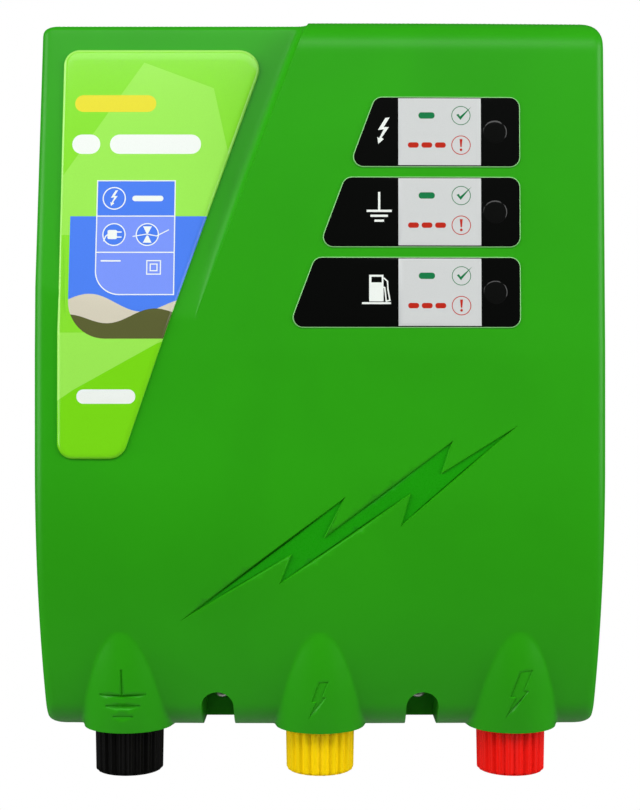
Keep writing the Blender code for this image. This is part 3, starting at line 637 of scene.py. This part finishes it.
def merged(first, second, width):
    """The nearer of two depths, with a hollow fillet where they meet."""
    share = np.clip(0.5 + (second - first) / (2 * width), 0, 1)
    return second * (1 - share) + first * share - width * share * (1 - share)


def cover_depth(x, z, engravings):
    """Depth of the finished cover, hoods and engraved signs included."""
    depth = face_depth(x, z) + rounding(x, z, 0.0)
    fillet = 0.5 * MM + 3.5 * MM * np.clip((HOOD_FLARE - z) / HOOD_FLARE_RUN, 0, 1) ** 1.5
    for terminal in TERMINAL_AT.values():
        near = np.abs(x - terminal.x) < 1.6 * HOOD_RADIUS
        depth = np.where(near, merged(depth, hood_depth(x, z, terminal.x), fillet), depth)
    spots = np.stack([x, z], axis=1)
    for outline, deep, draft in engravings:
        depth = depth + deep * np.clip(-signed_distance(spots, outline) / draft, 0, 1)
    return depth


def arc_steps(radius, count):
    """Distances in from an edge that split its rounding into equal arcs."""
    return [radius * (1 - math.cos(math.pi / 2 * step / count)) for step in range(count + 1)]


def spread(start, end, spacing):
    """Values from start to end, without the start, about one spacing apart."""
    count = max(1, round((end - start) / spacing))
    return [start + (end - start) * (step + 1) / count for step in range(count)]


def row_across(z, shrink, spacing):
    """X values over one level: at the left edge, up to the step, round it, on from it, at the right edge."""
    right = float(half_width_at(1.0, z, shrink))
    left = float(half_width_at(-1.0, z, shrink))
    turned = arc_steps(SIDE_ROUND, 6)
    edge = float(step_edge(z)) + shrink
    foot = [edge - STEP_RUN + STEP_RUN * math.cos(math.pi / 2 * step / 8) for step in range(9)][::-1]
    sides = [-left + reach for reach in turned], [right - reach for reach in reversed(turned)]
    lower = spread(sides[0][-1], foot[0], spacing)[:-1]
    upper = spread(foot[-1], sides[1][0], spacing)[:-1]
    return sides[0], lower, foot, upper, sides[1]


def moulding(name, paints, shrink, back, spacing, engravings=()):
    """A closed solid behind the moulded face. Shrunk, it is the hollow inside."""
    hood_top = HOOD_APEX + HOOD_MARGIN
    low_turn = [BOTTOM + shrink + reach for reach in arc_steps(BOTTOM_ROUND, 12)]
    top_turn = [TOP - shrink - reach for reach in reversed(arc_steps(TOP_ROUND, 12))]
    hood_rows = spread(low_turn[-1], hood_top, spacing)
    upper_rows = spread(hood_top, top_turn[0], COARSER * spacing)[:-1]
    rows = low_turn + hood_rows + upper_rows + top_turn
    points, lines, rims, left_side, right_side = [], [], [], [], []
    for z in rows:
        step = spacing if z <= hood_top else COARSER * spacing
        left, lower, foot, upper, right = row_across(z, shrink, step)
        left_side.append((left[0], z))
        right_side.append((right[-1], z))
        points += [(x, z) for x in lower + upper]
        if z > LINES_FROM:
            lines.append([(x, z) for x in left[1:] + foot + right[:-1]])
        else:
            points += [(x, z) for x in left[1:] + right[:-1] + foot]
        if z in (rows[0], rows[-1]):
            rims.append([(x, z) for x in lower + foot + upper])
    outline = rims[0] + right_side + rims[1][::-1] + left_side[::-1]
    signs = [shape for sign, _, draft in engravings for shape in (sign, inset(sign, draft))]
    if signs:
        spots = np.array(points)
        gap = np.min([np.abs(signed_distance(spots, shape)) for shape in signs], axis=0)
        points = [tuple(spot) for spot in spots[gap > 0.35 * spacing]]
    spots, triangles, owners = triangulated([outline, *signs], points, zip(*lines))
    x, z = spots[:, 0], spots[:, 1]
    if shrink:
        depth = face_depth(x, z, shrink) + rounding(x, z, shrink) + shrink
    else:
        depth = cover_depth(x, z, engravings)
    bm = bmesh.new()
    verts = [bm.verts.new((a, FRONT + deep, b)) for a, deep, b in zip(x, depth, z)]
    for triangle, owner in zip(triangles, owners):
        face = bm.faces.new([verts[index] for index in triangle])
        # faces on the bolt's floor take the second paint, a darker green painted as shade in the recess
        face.material_index = int(BOLT_FLOOR in owner)
    drop_loose(bm)
    for level, drawn_in in ((back - RIM_BEVEL, 0.0), (back, RIM_BEVEL)):
        rim = bmesh.ops.extrude_edge_only(bm, edges=[edge for edge in bm.edges if edge.is_boundary])["geom"]
        scale = 1 - drawn_in / HALF_WIDTH
        for vert in [item for item in rim if isinstance(item, bmesh.types.BMVert)]:
            vert.co = (vert.co.x * scale, level, vert.co.z * scale)
    bmesh.ops.edgeloop_fill(bm, edges=[edge for edge in bm.edges if edge.is_boundary])
    return as_object(name, bm, paints)


# ---- signs

BOLT = [
    (-57.7, -98.3), (10.4, -46.4), (2.5, -62.3), (53.9, -23.6), (49.7, -36.5), (80.5, -17.4),
    (32.6, -58.8), (36.2, -45.9), (-16.9, -82.9), (-12.2, -70.8),
]
HOOD_BOLT = [(0.4, 9.3), (5.4, 9.6), (2.6, 2.0), (4.2, 1.6), (-4.6, -9.6), (-1.2, -1.0), (-3.2, -0.9)]
ARROW_BOLT = [
    (0.7, 5.1), (2.5, 5.4), (0.1, 1.4), (2.2, 1.4), (-0.8, -2.9), (0.1, -3.5), (-2.1, -5.4), (-2.5, -2.6),
    (-1.8, -3.2), (0.1, 0.5), (-2.3, 0.2),
]
PANEL_EARTH = ((0.4, 10.2), (-1.6, 7.1), (-3.6, 3.9))
HOOD_EARTH = ((0.0, 19.4), (-4.8, 14.6), (-9.4, 8.6))


def earth_sign(bars, stem, thick):
    """A stem on the longest of three (height, length) bars, as outlines in millimetres that don't cross."""
    half, low = thick / 2, bars[0][0] + thick / 2
    top = low - half + stem
    shapes = [rectangle(-length / 2, at - half, length / 2, at + half) for at, length in bars]
    shapes[0][3:3] = [(half, low), (half, top), (-half, top), (-half, low)]
    return shapes


def hood_signs():
    """What is engraved on each hood: an earth sign, a small bolt and a larger one."""
    earth, small, large = [TERMINAL_AT[name].x for name in TERMINALS]
    signs = [moved(shape, earth, -0.1302, MM) for shape in earth_sign(HOOD_EARTH, 11.4, 1.1)]
    signs.append(moved(HOOD_BOLT, small - 1 * MM, -0.1322, 0.88 * MM))
    signs.append(moved(HOOD_BOLT, large, -0.1300, 1.12 * MM))
    return signs


# ---- housing


def well_outline(x, grow):
    """An upright slot round a terminal, seen from below."""
    front = Vector((x, TERMINAL_AT["earth"].y))
    radius = WELL_RADIUS + grow
    back = front + Vector((0, WELL_REACH))
    return arc(front, radius, math.pi, math.tau, 32) + arc(back, radius, 0.0, math.pi, 32)


def pocket_outline(x, grow, low):
    """The arch in the lower edge in front of a cover screw."""
    radius = POCKET_RADIUS + grow
    arch = arc(Vector((x, POCKET_Z)), radius, 0.0, math.pi, 24)
    return [*arch, Vector((x - radius, low)), Vector((x + radius, low))]


def make_cover():
    """The front cover: hollow, with closed wells round the terminals and pockets round its screws."""
    engravings = [(moved(BOLT, 0, 0, MM), BOLT_DEPTH, BOLT_DRAFT)]
    engravings += [(sign, SIGN_DEPTH, SIGN_DRAFT) for sign in hood_signs()]
    cover = moulding("cover", ["housing_green", "green_polished_shaded"], 0.0, COVER_BACK, FINE, engravings)
    hollow = moulding("hollow", [], WALL, COVER_BACK + CLEAR, 4 * MM)
    low, front, roof = BOTTOM - 2 * CLEAR, FRONT - CLEAR, WELL_CEILING + WELL_ROOF
    walls, tools = [], [hollow]
    for name, at in TERMINAL_AT.items():
        walls.append(upright_prism(name + "_well_wall", well_outline(at.x, WELL_WALL), low, roof))
        tools.append(upright_prism(name + "_well", well_outline(at.x, 0.0), low, WELL_CEILING))
        tools.append(rod(name + "_stud_hole", at, STUD_HOLE_RADIUS, low, roof + CLEAR))
    for side, at in SCREW_AT.items():
        pocket_wall = pocket_outline(at.x, POCKET_WALL, low)
        walls.append(prism(side + "_pocket_wall", pocket_wall, front, POCKET_BACK + WALL))
        tools.append(prism(side + "_pocket", pocket_outline(at.x, 0.0, low), front, POCKET_BACK))
    carve(hollow, walls)
    carve(cover, tools)
    adopt(cover, "housing", "housing_green", "front_cover")


def housing_outline(drawn_in, steps=10):
    """The housing seen from the front, drawn in by a distance."""
    made = []
    signs = ((1, 1), (-1, 1), (-1, -1), (1, -1))
    for quadrant, ((right, up), (across, tall)) in enumerate(zip(signs, CORNERS)):
        wide, high = max(across - drawn_in, 0.0008), max(tall - drawn_in, 0.0008)
        for step in range(steps + 1):
            turn = math.pi / 2 * (quadrant + step / steps)
            corner_x = right * (HALF_WIDTH - drawn_in - wide)
            corner_z = TOP - drawn_in - high if up > 0 else BOTTOM + drawn_in + high
            made.append(Vector((corner_x + wide * math.cos(turn), corner_z + high * math.sin(turn))))
    return made


def keyhole_outline(at):
    """A round way in at a point, below a narrow rise."""
    start = math.acos(SLOT_SHANK / SLOT_HEAD)
    entry = arc(at, SLOT_HEAD, start, -math.pi - start, 32)
    return entry + arc(at + Vector((0, SLOT_RISE - SLOT_SHANK)), SLOT_SHANK, math.pi, 0.0, 12)


def around(at, side, low, high, corner):
    """A rounded frame about a hanging slot."""
    return rectangle(at.x - side, at.y - low, at.x + side, at.y + high, corner)


def make_shell():
    """The rear shell: rounded back edges, a shallow tray in the back and three hanging slots."""
    rings = [standing(housing_outline(RIM_BEVEL), SHELL_FRONT)]
    rings.append(standing(housing_outline(0.0), SHELL_FRONT + RIM_BEVEL))
    for turn in [math.pi / 2 * step / 8 for step in range(9)]:
        outline = housing_outline(BACK_ROUND * (1 - math.cos(turn)))
        rings.append(standing(outline, BACK_ROUND * (math.sin(turn) - 1)))
    shell = lofted("shell", rings, ["housing_green"])
    carve(shell, [prism("shell_hollow", housing_outline(SHELL_WALL), SHELL_FRONT - CLEAR, -SHELL_WALL)])
    bosses, cuts, pads = [], [], []
    for index, at in enumerate(SLOTS_AT):
        boss = around(at, 7 * MM, 7 * MM, 13.5 * MM, 2 * MM)
        head_room = around(at, 5 * MM, 3 * MM, 11.5 * MM, 2 * MM)
        pad = around(at, 12 * MM, 12 * MM, 18 * MM, 4 * MM)
        bosses.append(prism(f"boss_{index}", boss, -SLOT_DEPTH - 2 * MM, -1 * MM))
        cuts.append(prism(f"keyhole_{index}", keyhole_outline(at), -SLOT_DEPTH, CLEAR))
        cuts.append(prism(f"head_room_{index}", head_room, -SLOT_DEPTH, -SHELL_WALL))
        pads.append(prism(f"pad_{index}", pad, -2 * MM, 2 * CLEAR))
    carve(shell, bosses, "UNION")
    reach = HALF_WIDTH - TRAY_EDGE
    tray_outline = rectangle(-reach, BOTTOM + TRAY_EDGE, reach, TOP - TRAY_EDGE, 6 * MM)
    tray = prism("tray", tray_outline, -TRAY_DEPTH, CLEAR)
    for index in range(RIBS):
        x = (index - (RIBS - 1) / 2) * RIB_PITCH
        rib = rectangle(x - RIB_HALF, -RIB_REACH, x + RIB_HALF, RIB_REACH, 0.9 * RIB_HALF)
        pads.append(prism(f"rib_{index}", rib, -2 * MM, 2 * CLEAR))
    carve(tray, pads)
    hole = rod("gland_hole", middle("mains_gland_body"), GLAND_HOLE_RADIUS, BOTTOM - CLEAR, BOTTOM + CLEAR)
    carve(shell, [*cuts, tray, hole])
    adopt(shell, "housing", "housing_green", "rear_shell")


# ---- printed plates

BLUE_FIELD = 4  # the place of the blue field among the label's prints, which holds the hills


def lifted(spots, lift):
    """Y of points that stand proud of the moulded face."""
    return FRONT + face_depth(spots[:, 0], spots[:, 1]) - lift


def printed_plate(name, slot, rim, outline, prints, proud, edge, node):
    """A plate on the moulded face with a rounded rim.

    Prints are (outline, paint, holder) in painting order, and show only inside the holder's print, if any.
    """
    # The rim paint shows on the plate's outer ring, outside the first print: on both plates it is a lighter
    # colour painted as the rim's highlight
    paints = [rim, *sorted({paint for _, paint, _ in prints} - {rim})]
    spans = zip(np.min(outline, axis=0), np.max(outline, axis=0))
    columns, rows = np.meshgrid(*[np.arange(low, high, PRINT_SPACING) for low, high in spans])
    points = np.stack([columns.ravel(), rows.ravel()], axis=1)
    points = points[signed_distance(points, outline) < -edge - PRINT_SPACING / 3]
    rings = [inset(outline, edge * (1 - math.cos(math.pi / 2 * step / 4))) for step in range(1, 5)]
    shapes = [outline, *[shape for shape, _, _ in prints]]
    spots, triangles, owners = triangulated(shapes, points, [[*ring, ring[0]] for ring in rings])
    inward = np.clip(-signed_distance(spots, outline), 0, edge) / edge
    height = proud * (0.3 + 0.7 * np.sqrt(np.clip(1 - (1 - inward) ** 2, 0, 1)))
    bm = bmesh.new()
    fronts = [bm.verts.new((s[0], y, s[1])) for s, y in zip(spots, lifted(spots, height))]
    backs = [bm.verts.new((s[0], y, s[1])) for s, y in zip(spots, lifted(spots, -0.1 * MM))]
    for triangle, owner in zip(triangles, owners):
        front = bm.faces.new([fronts[index] for index in triangle])
        bm.faces.new([backs[index] for index in reversed(triangle)])
        for index, (_, paint, holder) in enumerate(prints, start=1):
            if index in owner and (holder is None or holder + 1 in owner):
                front.material_index = paints.index(paint)
    twins = dict(zip(fronts, backs))
    for first, second in [side.verts for side in bm.edges if side.is_boundary and side.verts[0] in twins]:
        bm.faces.new((first, second, twins[second], twins[first]))
    drop_loose(bm)
    adopt(as_object(name, bm, paints, 40.0), "housing", slot, node)


def flat(shape, paint, holder=None):
    """A print from an outline in millimetres."""
    return moved(shape, 0, 0, MM), paint, holder


def bar(paint, *sides):
    """A rectangular print, from its sides and maybe a corner radius in millimetres."""
    return flat(rectangle(*sides), paint)


def hill(start, fall, swell, waves):
    """A wavy skyline across the blue field, in millimetres, closed below it."""
    shares = [step / 24 for step in range(25)]
    skyline = [(-103 + 45 * share, start + fall * share + swell * math.sin(waves(share))) for share in shares]
    return [*skyline, (-58, 10), (-103, 10)]


def make_label():
    """The long domed label: lime fields, a blue field with hills, a table of signs, and plain bars."""
    left, top, low = LABEL_LOW.x, LABEL_HIGH.z, LABEL_LOW.z
    low_right, right = LABEL_HIGH.x + LABEL_SLOPE * (low - top), LABEL_HIGH.x
    corners = [(left, low), (low_right, low), (right, top), (left, top)]
    outline = inset(filleted(corners, [6 * MM, 7 * MM, 8 * MM, 6 * MM], 10), -0.5 * MM)
    field = filleted([(-102, 17.5), (-40, 17.5), (-30, 67.8), (-102, 67.8)], [15, 0, 0, 0], 12)
    west, south, east, north, line, corner = -91.4, 35.2, -59.1, 82.9, 0.45, 10
    table = rectangle(west, south, east, north)
    inside = rectangle(west + line, south + line, east - line, north - line)
    prints = [
        (inset(outline, 1 * MM), "label_lime", None),
        flat([(-73, 133), (-44, 122), (-30, 60), (-106, 60), (-106, 84)], "lime_light"),
        flat([(-107, 20), (-55, 20), (-66, 15.5), (-99.5, -3), (-107, -8)], "lime_light"),
        flat([(-99.5, -3), (-66, 15.5), (-55, 20), (-60, -40), (-107, -40), (-107, -8)], "lime_deep"),
        flat(field, "blue"),
        flat(hill(33, -2, 3.2, lambda share: 7 * share), "hill_far", BLUE_FIELD),
        flat(hill(25, 3, 2.4, lambda share: 8 * share + math.pi / 2), "hill_near", BLUE_FIELD),
        flat(filleted(table, [corner, 0, 0, 0], 12), "white"),
        flat(filleted(inside, [corner - line, 0, 0, 0], 12), "blue_light"),
        bar("blue", west + line, 68.1, east - line, north - line),
        bar("white", west, 67.65, east, 68.1),
        bar("white", west, 52.6, east, 53.05),
        bar("yellow", -101.3, 111.8, -67.7, 119.0, 3.6),
        bar("white", -102.0, 94.0, -90.5, 102.2, 4.0),
        bar("white", -86.5, 94.0, -49.0, 102.2, 4.0),
        bar("white", -98.5, -8.8, -74.6, -3.0, 2.8),
        bar("white", -76.8, 74.1, -64.1, 76.4, 1.1),
        bar("white", -89.2, 49.0, -81.0, 49.6, 0.2),
    ]
    for x, z in ((-84.2, 75.3), (-84.0, 60.2), (-70.4, 60.2)):
        prints += [flat(circle(x, z, 4.75), "white"), flat(circle(x, z, 4.3), "blue")]
    # a bolt, then a plug with its two pins and its lead, then an hourglass crossed by a lead
    prints += [
        flat(moved(ARROW_BOLT, -84.2, 75.4, 0.62), "white"),
        bar("white", -86.6, 58.3, -82.8, 62.1, 0.6),
        bar("white", -82.8, 61.0, -80.9, 61.5),
        bar("white", -82.8, 58.9, -80.9, 59.4),
        flat(stroke([(-88.2, 57.4), (-87.4, 59.4), (-86.6, 60.2)], 0.5), "white"),
        flat([(-72.2, 63.6), (-68.6, 63.6), (-70.1, 60.6), (-70.7, 60.6)], "white"),
        flat([(-70.7, 59.8), (-70.1, 59.8), (-68.6, 56.8), (-72.2, 56.8)], "white"),
        flat(stroke([(-76.4, 59.4), (-70.6, 60.4), (-66.6, 59.6), (-61.6, 62.2)], 0.4), "white"),
    ]
    for reach, paint in ((3.0, "white"), (2.55, "blue_light"), (1.6, "white"), (1.15, "blue_light")):
        prints.append(bar(paint, -67.6 - reach, 46.6 - reach, -67.6 + reach, 46.6 + reach))
    printed_plate("label", "label_lime", "lime_rim", outline, prints, LABEL_PROUD, LABEL_EDGE, "label_plate")


def pump_sign():
    """A filling pump with its hose, for the supply, in millimetres."""
    hose = [(2.9, 4.4), (4.5, 3.0), (4.7, -0.3), (5.5, -4.7), (4.0, -5.1), (3.4, 0.4), (2.9, 0.6)]
    return [
        (rectangle(-2.9, -5.2, 2.9, 5.6), "white"),
        (rectangle(-2.0, 2.5, 2.2, 4.8), "panel_black"),
        (rectangle(-5.8, -6.3, 5.9, -5.5), "white"),
        (stroke(hose, 0.55), "white"),
    ]


def make_lens(name):
    """A dark domed lens on a short rod, in an indicator film."""
    at = middle(name + "_light_pipe")
    at.y = FRONT + float(face_depth(at.x, at.z))
    turns = [math.pi / 2 * step / 10 for step in range(11)]
    dome = [(LENS_RADIUS * math.sin(turn), (0.45 + 0.6 * math.cos(turn)) * MM) for turn in turns]
    stem = [(LENS_RADIUS, 0.2 * MM), (3 * MM, 0.2 * MM), (3 * MM, -12 * MM), (0, -12 * MM)]
    lens = lathe(name + "_lens", [*dome, *stem], ["lens_dark"], at, (0, -1, 0), 48)
    adopt(lens, "housing", "lens_dark", name + "_light_pipe")


def make_panels():
    """Three indicator films, each with a sign, a pale window with its two states, and a dark lens."""
    tick = [(-1.9, 0.3), (-1.0, 0.7), (-0.35, -0.35), (4.3, 3.7), (-0.2, -1.8)]
    signs = {
        "fence": (25.8, 0.5, [(ARROW_BOLT, "white")]),
        "earth": (24.0, 0.0, [(shape, "white") for shape in earth_sign(PANEL_EARTH, 7.7, 0.9)]),
        "supply": (22.8, 1.5, pump_sign()),
    }
    for name, (x, lift, shapes) in signs.items():
        low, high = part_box(name + "_panel")
        mid = (low.z + high.z) / 2 / MM
        slant = STEP_SLOPE * (high.z - low.z)
        corners = [(low.x, low.z), (high.x, low.z), (high.x, high.z), (low.x + slant, high.z)]
        outline = inset(filleted(corners, FILM_ROUND, 8), -0.35 * MM)
        good, bad = mid + 6.7, mid - 5.4
        prints = [
            (inset(outline, 0.4 * MM), "panel_black", None),
            bar("window_grey", 31.8, low.z / MM + 0.5, 65.4, high.z / MM - 0.4),
            flat(circle(57.3, good, 3.9), "sign_green"),
            flat(circle(57.3, good, 3.6), "window_grey"),
            flat(moved(tick, 57.3, good), "sign_green"),
            flat(circle(57.3, bad, 3.95), "sign_red"),
            flat(circle(57.3, bad, 3.6), "window_grey"),
            flat(moved([(-0.3, -0.8), (0.3, -0.8), (0.6, 2.5), (-0.6, 2.5)], 57.3, bad), "sign_red"),
            flat(circle(57.3, mid - 7.3, 0.55, 16), "sign_red"),
            bar("sign_green", 40.0, mid + 5.4, 46.6, mid + 8.0, 1.2),
        ]
        for start in (35.7, 41.2, 46.7):
            prints.append(bar("sign_red", start, mid - 6.5, start + 4.4, mid - 4.3, 1.0))
        prints += [flat(moved(shape, x, mid + lift), paint) for shape, paint in shapes]
        # the film's outer ring takes a light colour, a painted highlight along its edge
        plate = name + "_film", "panel_black", "film_edge", outline, prints
        printed_plate(*plate, FILM_PROUD, FILM_EDGE, name + "_panel")
        make_lens(name)


# ---- terminals


def make_knob(name, paint):
    """A fluted thumb nut: a plain collar, a dished foot and a bore for its insert."""
    radius, tall, foot = foot_of(name + "_knob")
    bore = foot_of(name + "_knob_insert")[0] + 0.3 * MM
    floor, dish, dish_radius = 4.3 * MM, 0.9 * MM, 8.8 * MM
    collar = tall - 4.5 * MM

    def groove(turn, height):
        wave = 0.5 - 0.5 * math.cos(FLUTES * turn)
        fade = min(max((collar - height) / (1.5 * MM), 0.0), 1.0) if height > 0.1 * MM else 0.0
        return FLUTE_DEPTH * wave**1.3 * fade

    corners = [(9.6 * MM, 0), (radius - 0.4 * MM, 0), (radius, tall - 4 * MM), (radius, tall), (bore, tall)]
    outside = filleted(corners, [0, 1.3 * MM, 2 * MM, 0.6 * MM, 0], closed=False)
    rows = []
    for first, second in zip(outside, outside[1:]):
        parts = max(1, round(abs(second.y - first.y) / (1.2 * MM)))
        rows += [tuple(first.lerp(second, step / parts)) for step in range(parts)]
    profile = [(0, dish), (dish_radius, dish), *rows, (bore, tall), (bore, floor), (0, floor)]
    knob = lathe(name + "_grip", profile, [paint], foot, segments=12 * FLUTES)
    fluted(knob, foot, bore + 4 * MM, groove)
    adopt(knob, name + "_knob", paint, name + "_knob")


def make_stud(name):
    """A threaded stud with chamfered ends."""
    radius, tall, foot = foot_of(name + "_stud")
    count = 8 * round(tall / THREAD_PITCH)
    heights = [tall * step / count for step in range(count + 1)]

    def thread(turn, height):
        phase = (height / THREAD_PITCH - turn / math.tau) % 1.0
        plain = min(height, tall - height) <= THREAD_CHAMFER / 2
        return 0.0 if plain else THREAD_DEPTH * (1 - abs(2 * phase - 1))

    body = [(min(radius, radius - THREAD_CHAMFER + min(at, tall - at)), at) for at in heights]
    profile = [(0, 0.0), *body, (0, tall)]
    stud = lathe(name + "_threaded_stud", profile, ["steel"], foot, segments=32, ripple=thread, sharp=50.0)
    adopt(stud, "housing", "steel", name + "_stud")


def make_cover_screws():
    """Pan-head cover screws with a cross recess."""
    seat, length, shank = POCKET_BACK - 0.3 * MM, 16 * MM, 1.7 * MM
    arm_long, arm_thin = 2.1 * MM, 0.5 * MM
    for side, at in SCREW_AT.items():
        low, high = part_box(side + "_cover_screw")
        head, lift = (high.x - low.x) / 2, seat - low.y
        top = filleted([(0, lift), (0.8 * head, lift), (head, 0)], [0, 1.4 * MM, 0], 8, closed=False)
        profile = [*map(tuple, top), (shank, 0.0), (shank, shank - length), (0, -length)]
        screw = lathe(side + "_pan_screw", profile, ["steel"], (at.x, seat, at.z), (0, -1, 0), 48)
        arms = []
        for wide, tall in ((arm_long, arm_thin), (arm_thin, arm_long)):
            arm = rectangle(at.x - wide, at.z - tall, at.x + wide, at.z + tall)
            arms.append(prism(f"{side}_recess_{len(arms)}", arm, low.y - 1 * MM, low.y + 1.3 * MM))
        carve(screw, arms)
        adopt(screw, "housing", "steel", side + "_cover_screw")


def make_gland_cap():
    """The gland's cap nut: ribbed for the fingers, with a domed end round the lead's way in."""
    radius, tall, foot = foot_of("mains_gland_cap")
    way_in, bore, floor = 4.5 * MM, 8.1 * MM, 3.7 * MM
    corners = [(way_in, 0), (7.5 * MM, 0), (radius, 4.8 * MM), (radius, tall)]
    corners += [(bore, tall), (bore, floor), (way_in, floor)]
    outside = filleted(corners, [0.4 * MM, 1.2 * MM, 1.2 * MM, 0.4 * MM, 0, 0, 0], 5)

    def groove(turn, height):
        ribbed = 5.2 * MM < height < tall - 0.6 * MM
        return CAP_RIB_DEPTH * max(math.cos(CAP_RIBS * turn), 0.0) if ribbed else 0.0

    profile = []
    for first, second in zip(outside, [*outside[1:], outside[0]]):
        profile += [tuple(first.lerp(second, step / 3)) for step in range(3)]
    cap = lathe("gland_cap", profile, ["black_plastic"], foot, segments=8 * CAP_RIBS)
    fluted(cap, foot, bore + 1.4 * MM, groove)
    adopt(cap, "housing", "black_plastic", "mains_gland_cap")


# ---- studio


def make_floor():
    """A plain pale floor, well below."""
    made, tree, shader = new_material("floor_white", 0.9, Specular_IOR_Level=0.0)
    mottle = texture(tree, "ShaderNodeTexNoise", 1.5)
    blend_colour(tree, shader, mottle.outputs["Fac"], (0.62, 0.62, 0.62), (0.66, 0.66, 0.66))
    seen = tree.nodes.new("ShaderNodeLightPath")
    tree.links.new(seen.outputs["Is Camera Ray"], shader.inputs["Emission Strength"])
    shader.inputs["Emission Color"].default_value = (0.72, 0.72, 0.72, 1)
    sheet = bpy.data.meshes.new("floor")
    corners = [(-6, -6), (6, -6), (6, 6), (-6, 6)]
    sheet.from_pydata([(x, y, -2) for x, y in corners], [], [(0, 1, 2, 3)])
    sheet.materials.append(made)
    placed("floor", sheet)


def area_light(name, at, aim, width, height, power):
    lamp = bpy.data.lights.new(name, "AREA")
    lamp.shape = "RECTANGLE"
    lamp.size, lamp.size_y, lamp.energy = width, height, power
    obj = placed(name, lamp)
    obj.location = at
    obj.rotation_euler = (Vector(at) - Vector(aim)).to_track_quat("Z", "Y").to_euler()


def make_studio():
    """A white world that lights only dimly, soft boxes all round, and the camera."""
    scene = bpy.context.scene
    scene.view_settings.view_transform = "Standard"
    world = bpy.data.worlds.new("studio")
    world.use_nodes = True
    tree = world.node_tree
    dim, bright = tree.nodes["Background"], tree.nodes.new("ShaderNodeBackground")
    for background, strength in ((dim, 0.08), (bright, 1.0)):
        background.inputs["Color"].default_value = (1, 1, 1, 1)
        background.inputs["Strength"].default_value = strength
    seen = tree.nodes.new("ShaderNodeLightPath")
    choice = tree.nodes.new("ShaderNodeMixShader")
    tree.links.new(seen.outputs["Is Camera Ray"], choice.inputs[0])
    tree.links.new(dim.outputs["Background"], choice.inputs[1])
    tree.links.new(bright.outputs["Background"], choice.inputs[2])
    tree.links.new(choice.outputs["Shader"], tree.nodes["World Output"].inputs["Surface"])
    scene.world = world
    area_light("left_box", (-1.95, -1.0, 0.5), (0, -0.08, 0), 1.6, 1.8, 41)
    area_light("right_box", (1.95, -1.0, 0.5), (0, -0.08, 0), 1.6, 1.8, 41)
    area_light("top_box", (0, -1.5, 1.4), (0, -0.08, 0), 1.8, 0.7, 18)
    area_light("back_box", (0, 2.6, 0.6), (0, -0.05, 0), 2.0, 1.0, 42)
    camera = bpy.data.cameras.new("camera")
    camera.sensor_width = 36.0
    camera.lens = 60.9
    scene.camera = placed("camera", camera)
    scene.camera.location = (0, FRONT - 0.554, -0.0093)
    scene.camera.rotation_euler = (math.pi / 2, 0, 0)


# ---- assembly

make_studio()
make_floor()
make_cover()
make_shell()
make_label()
make_panels()
for terminal, knob_paint in TERMINALS.items():
    make_knob(terminal, knob_paint)
    make_stud(terminal)
make_cover_screws()
make_gland_cap()
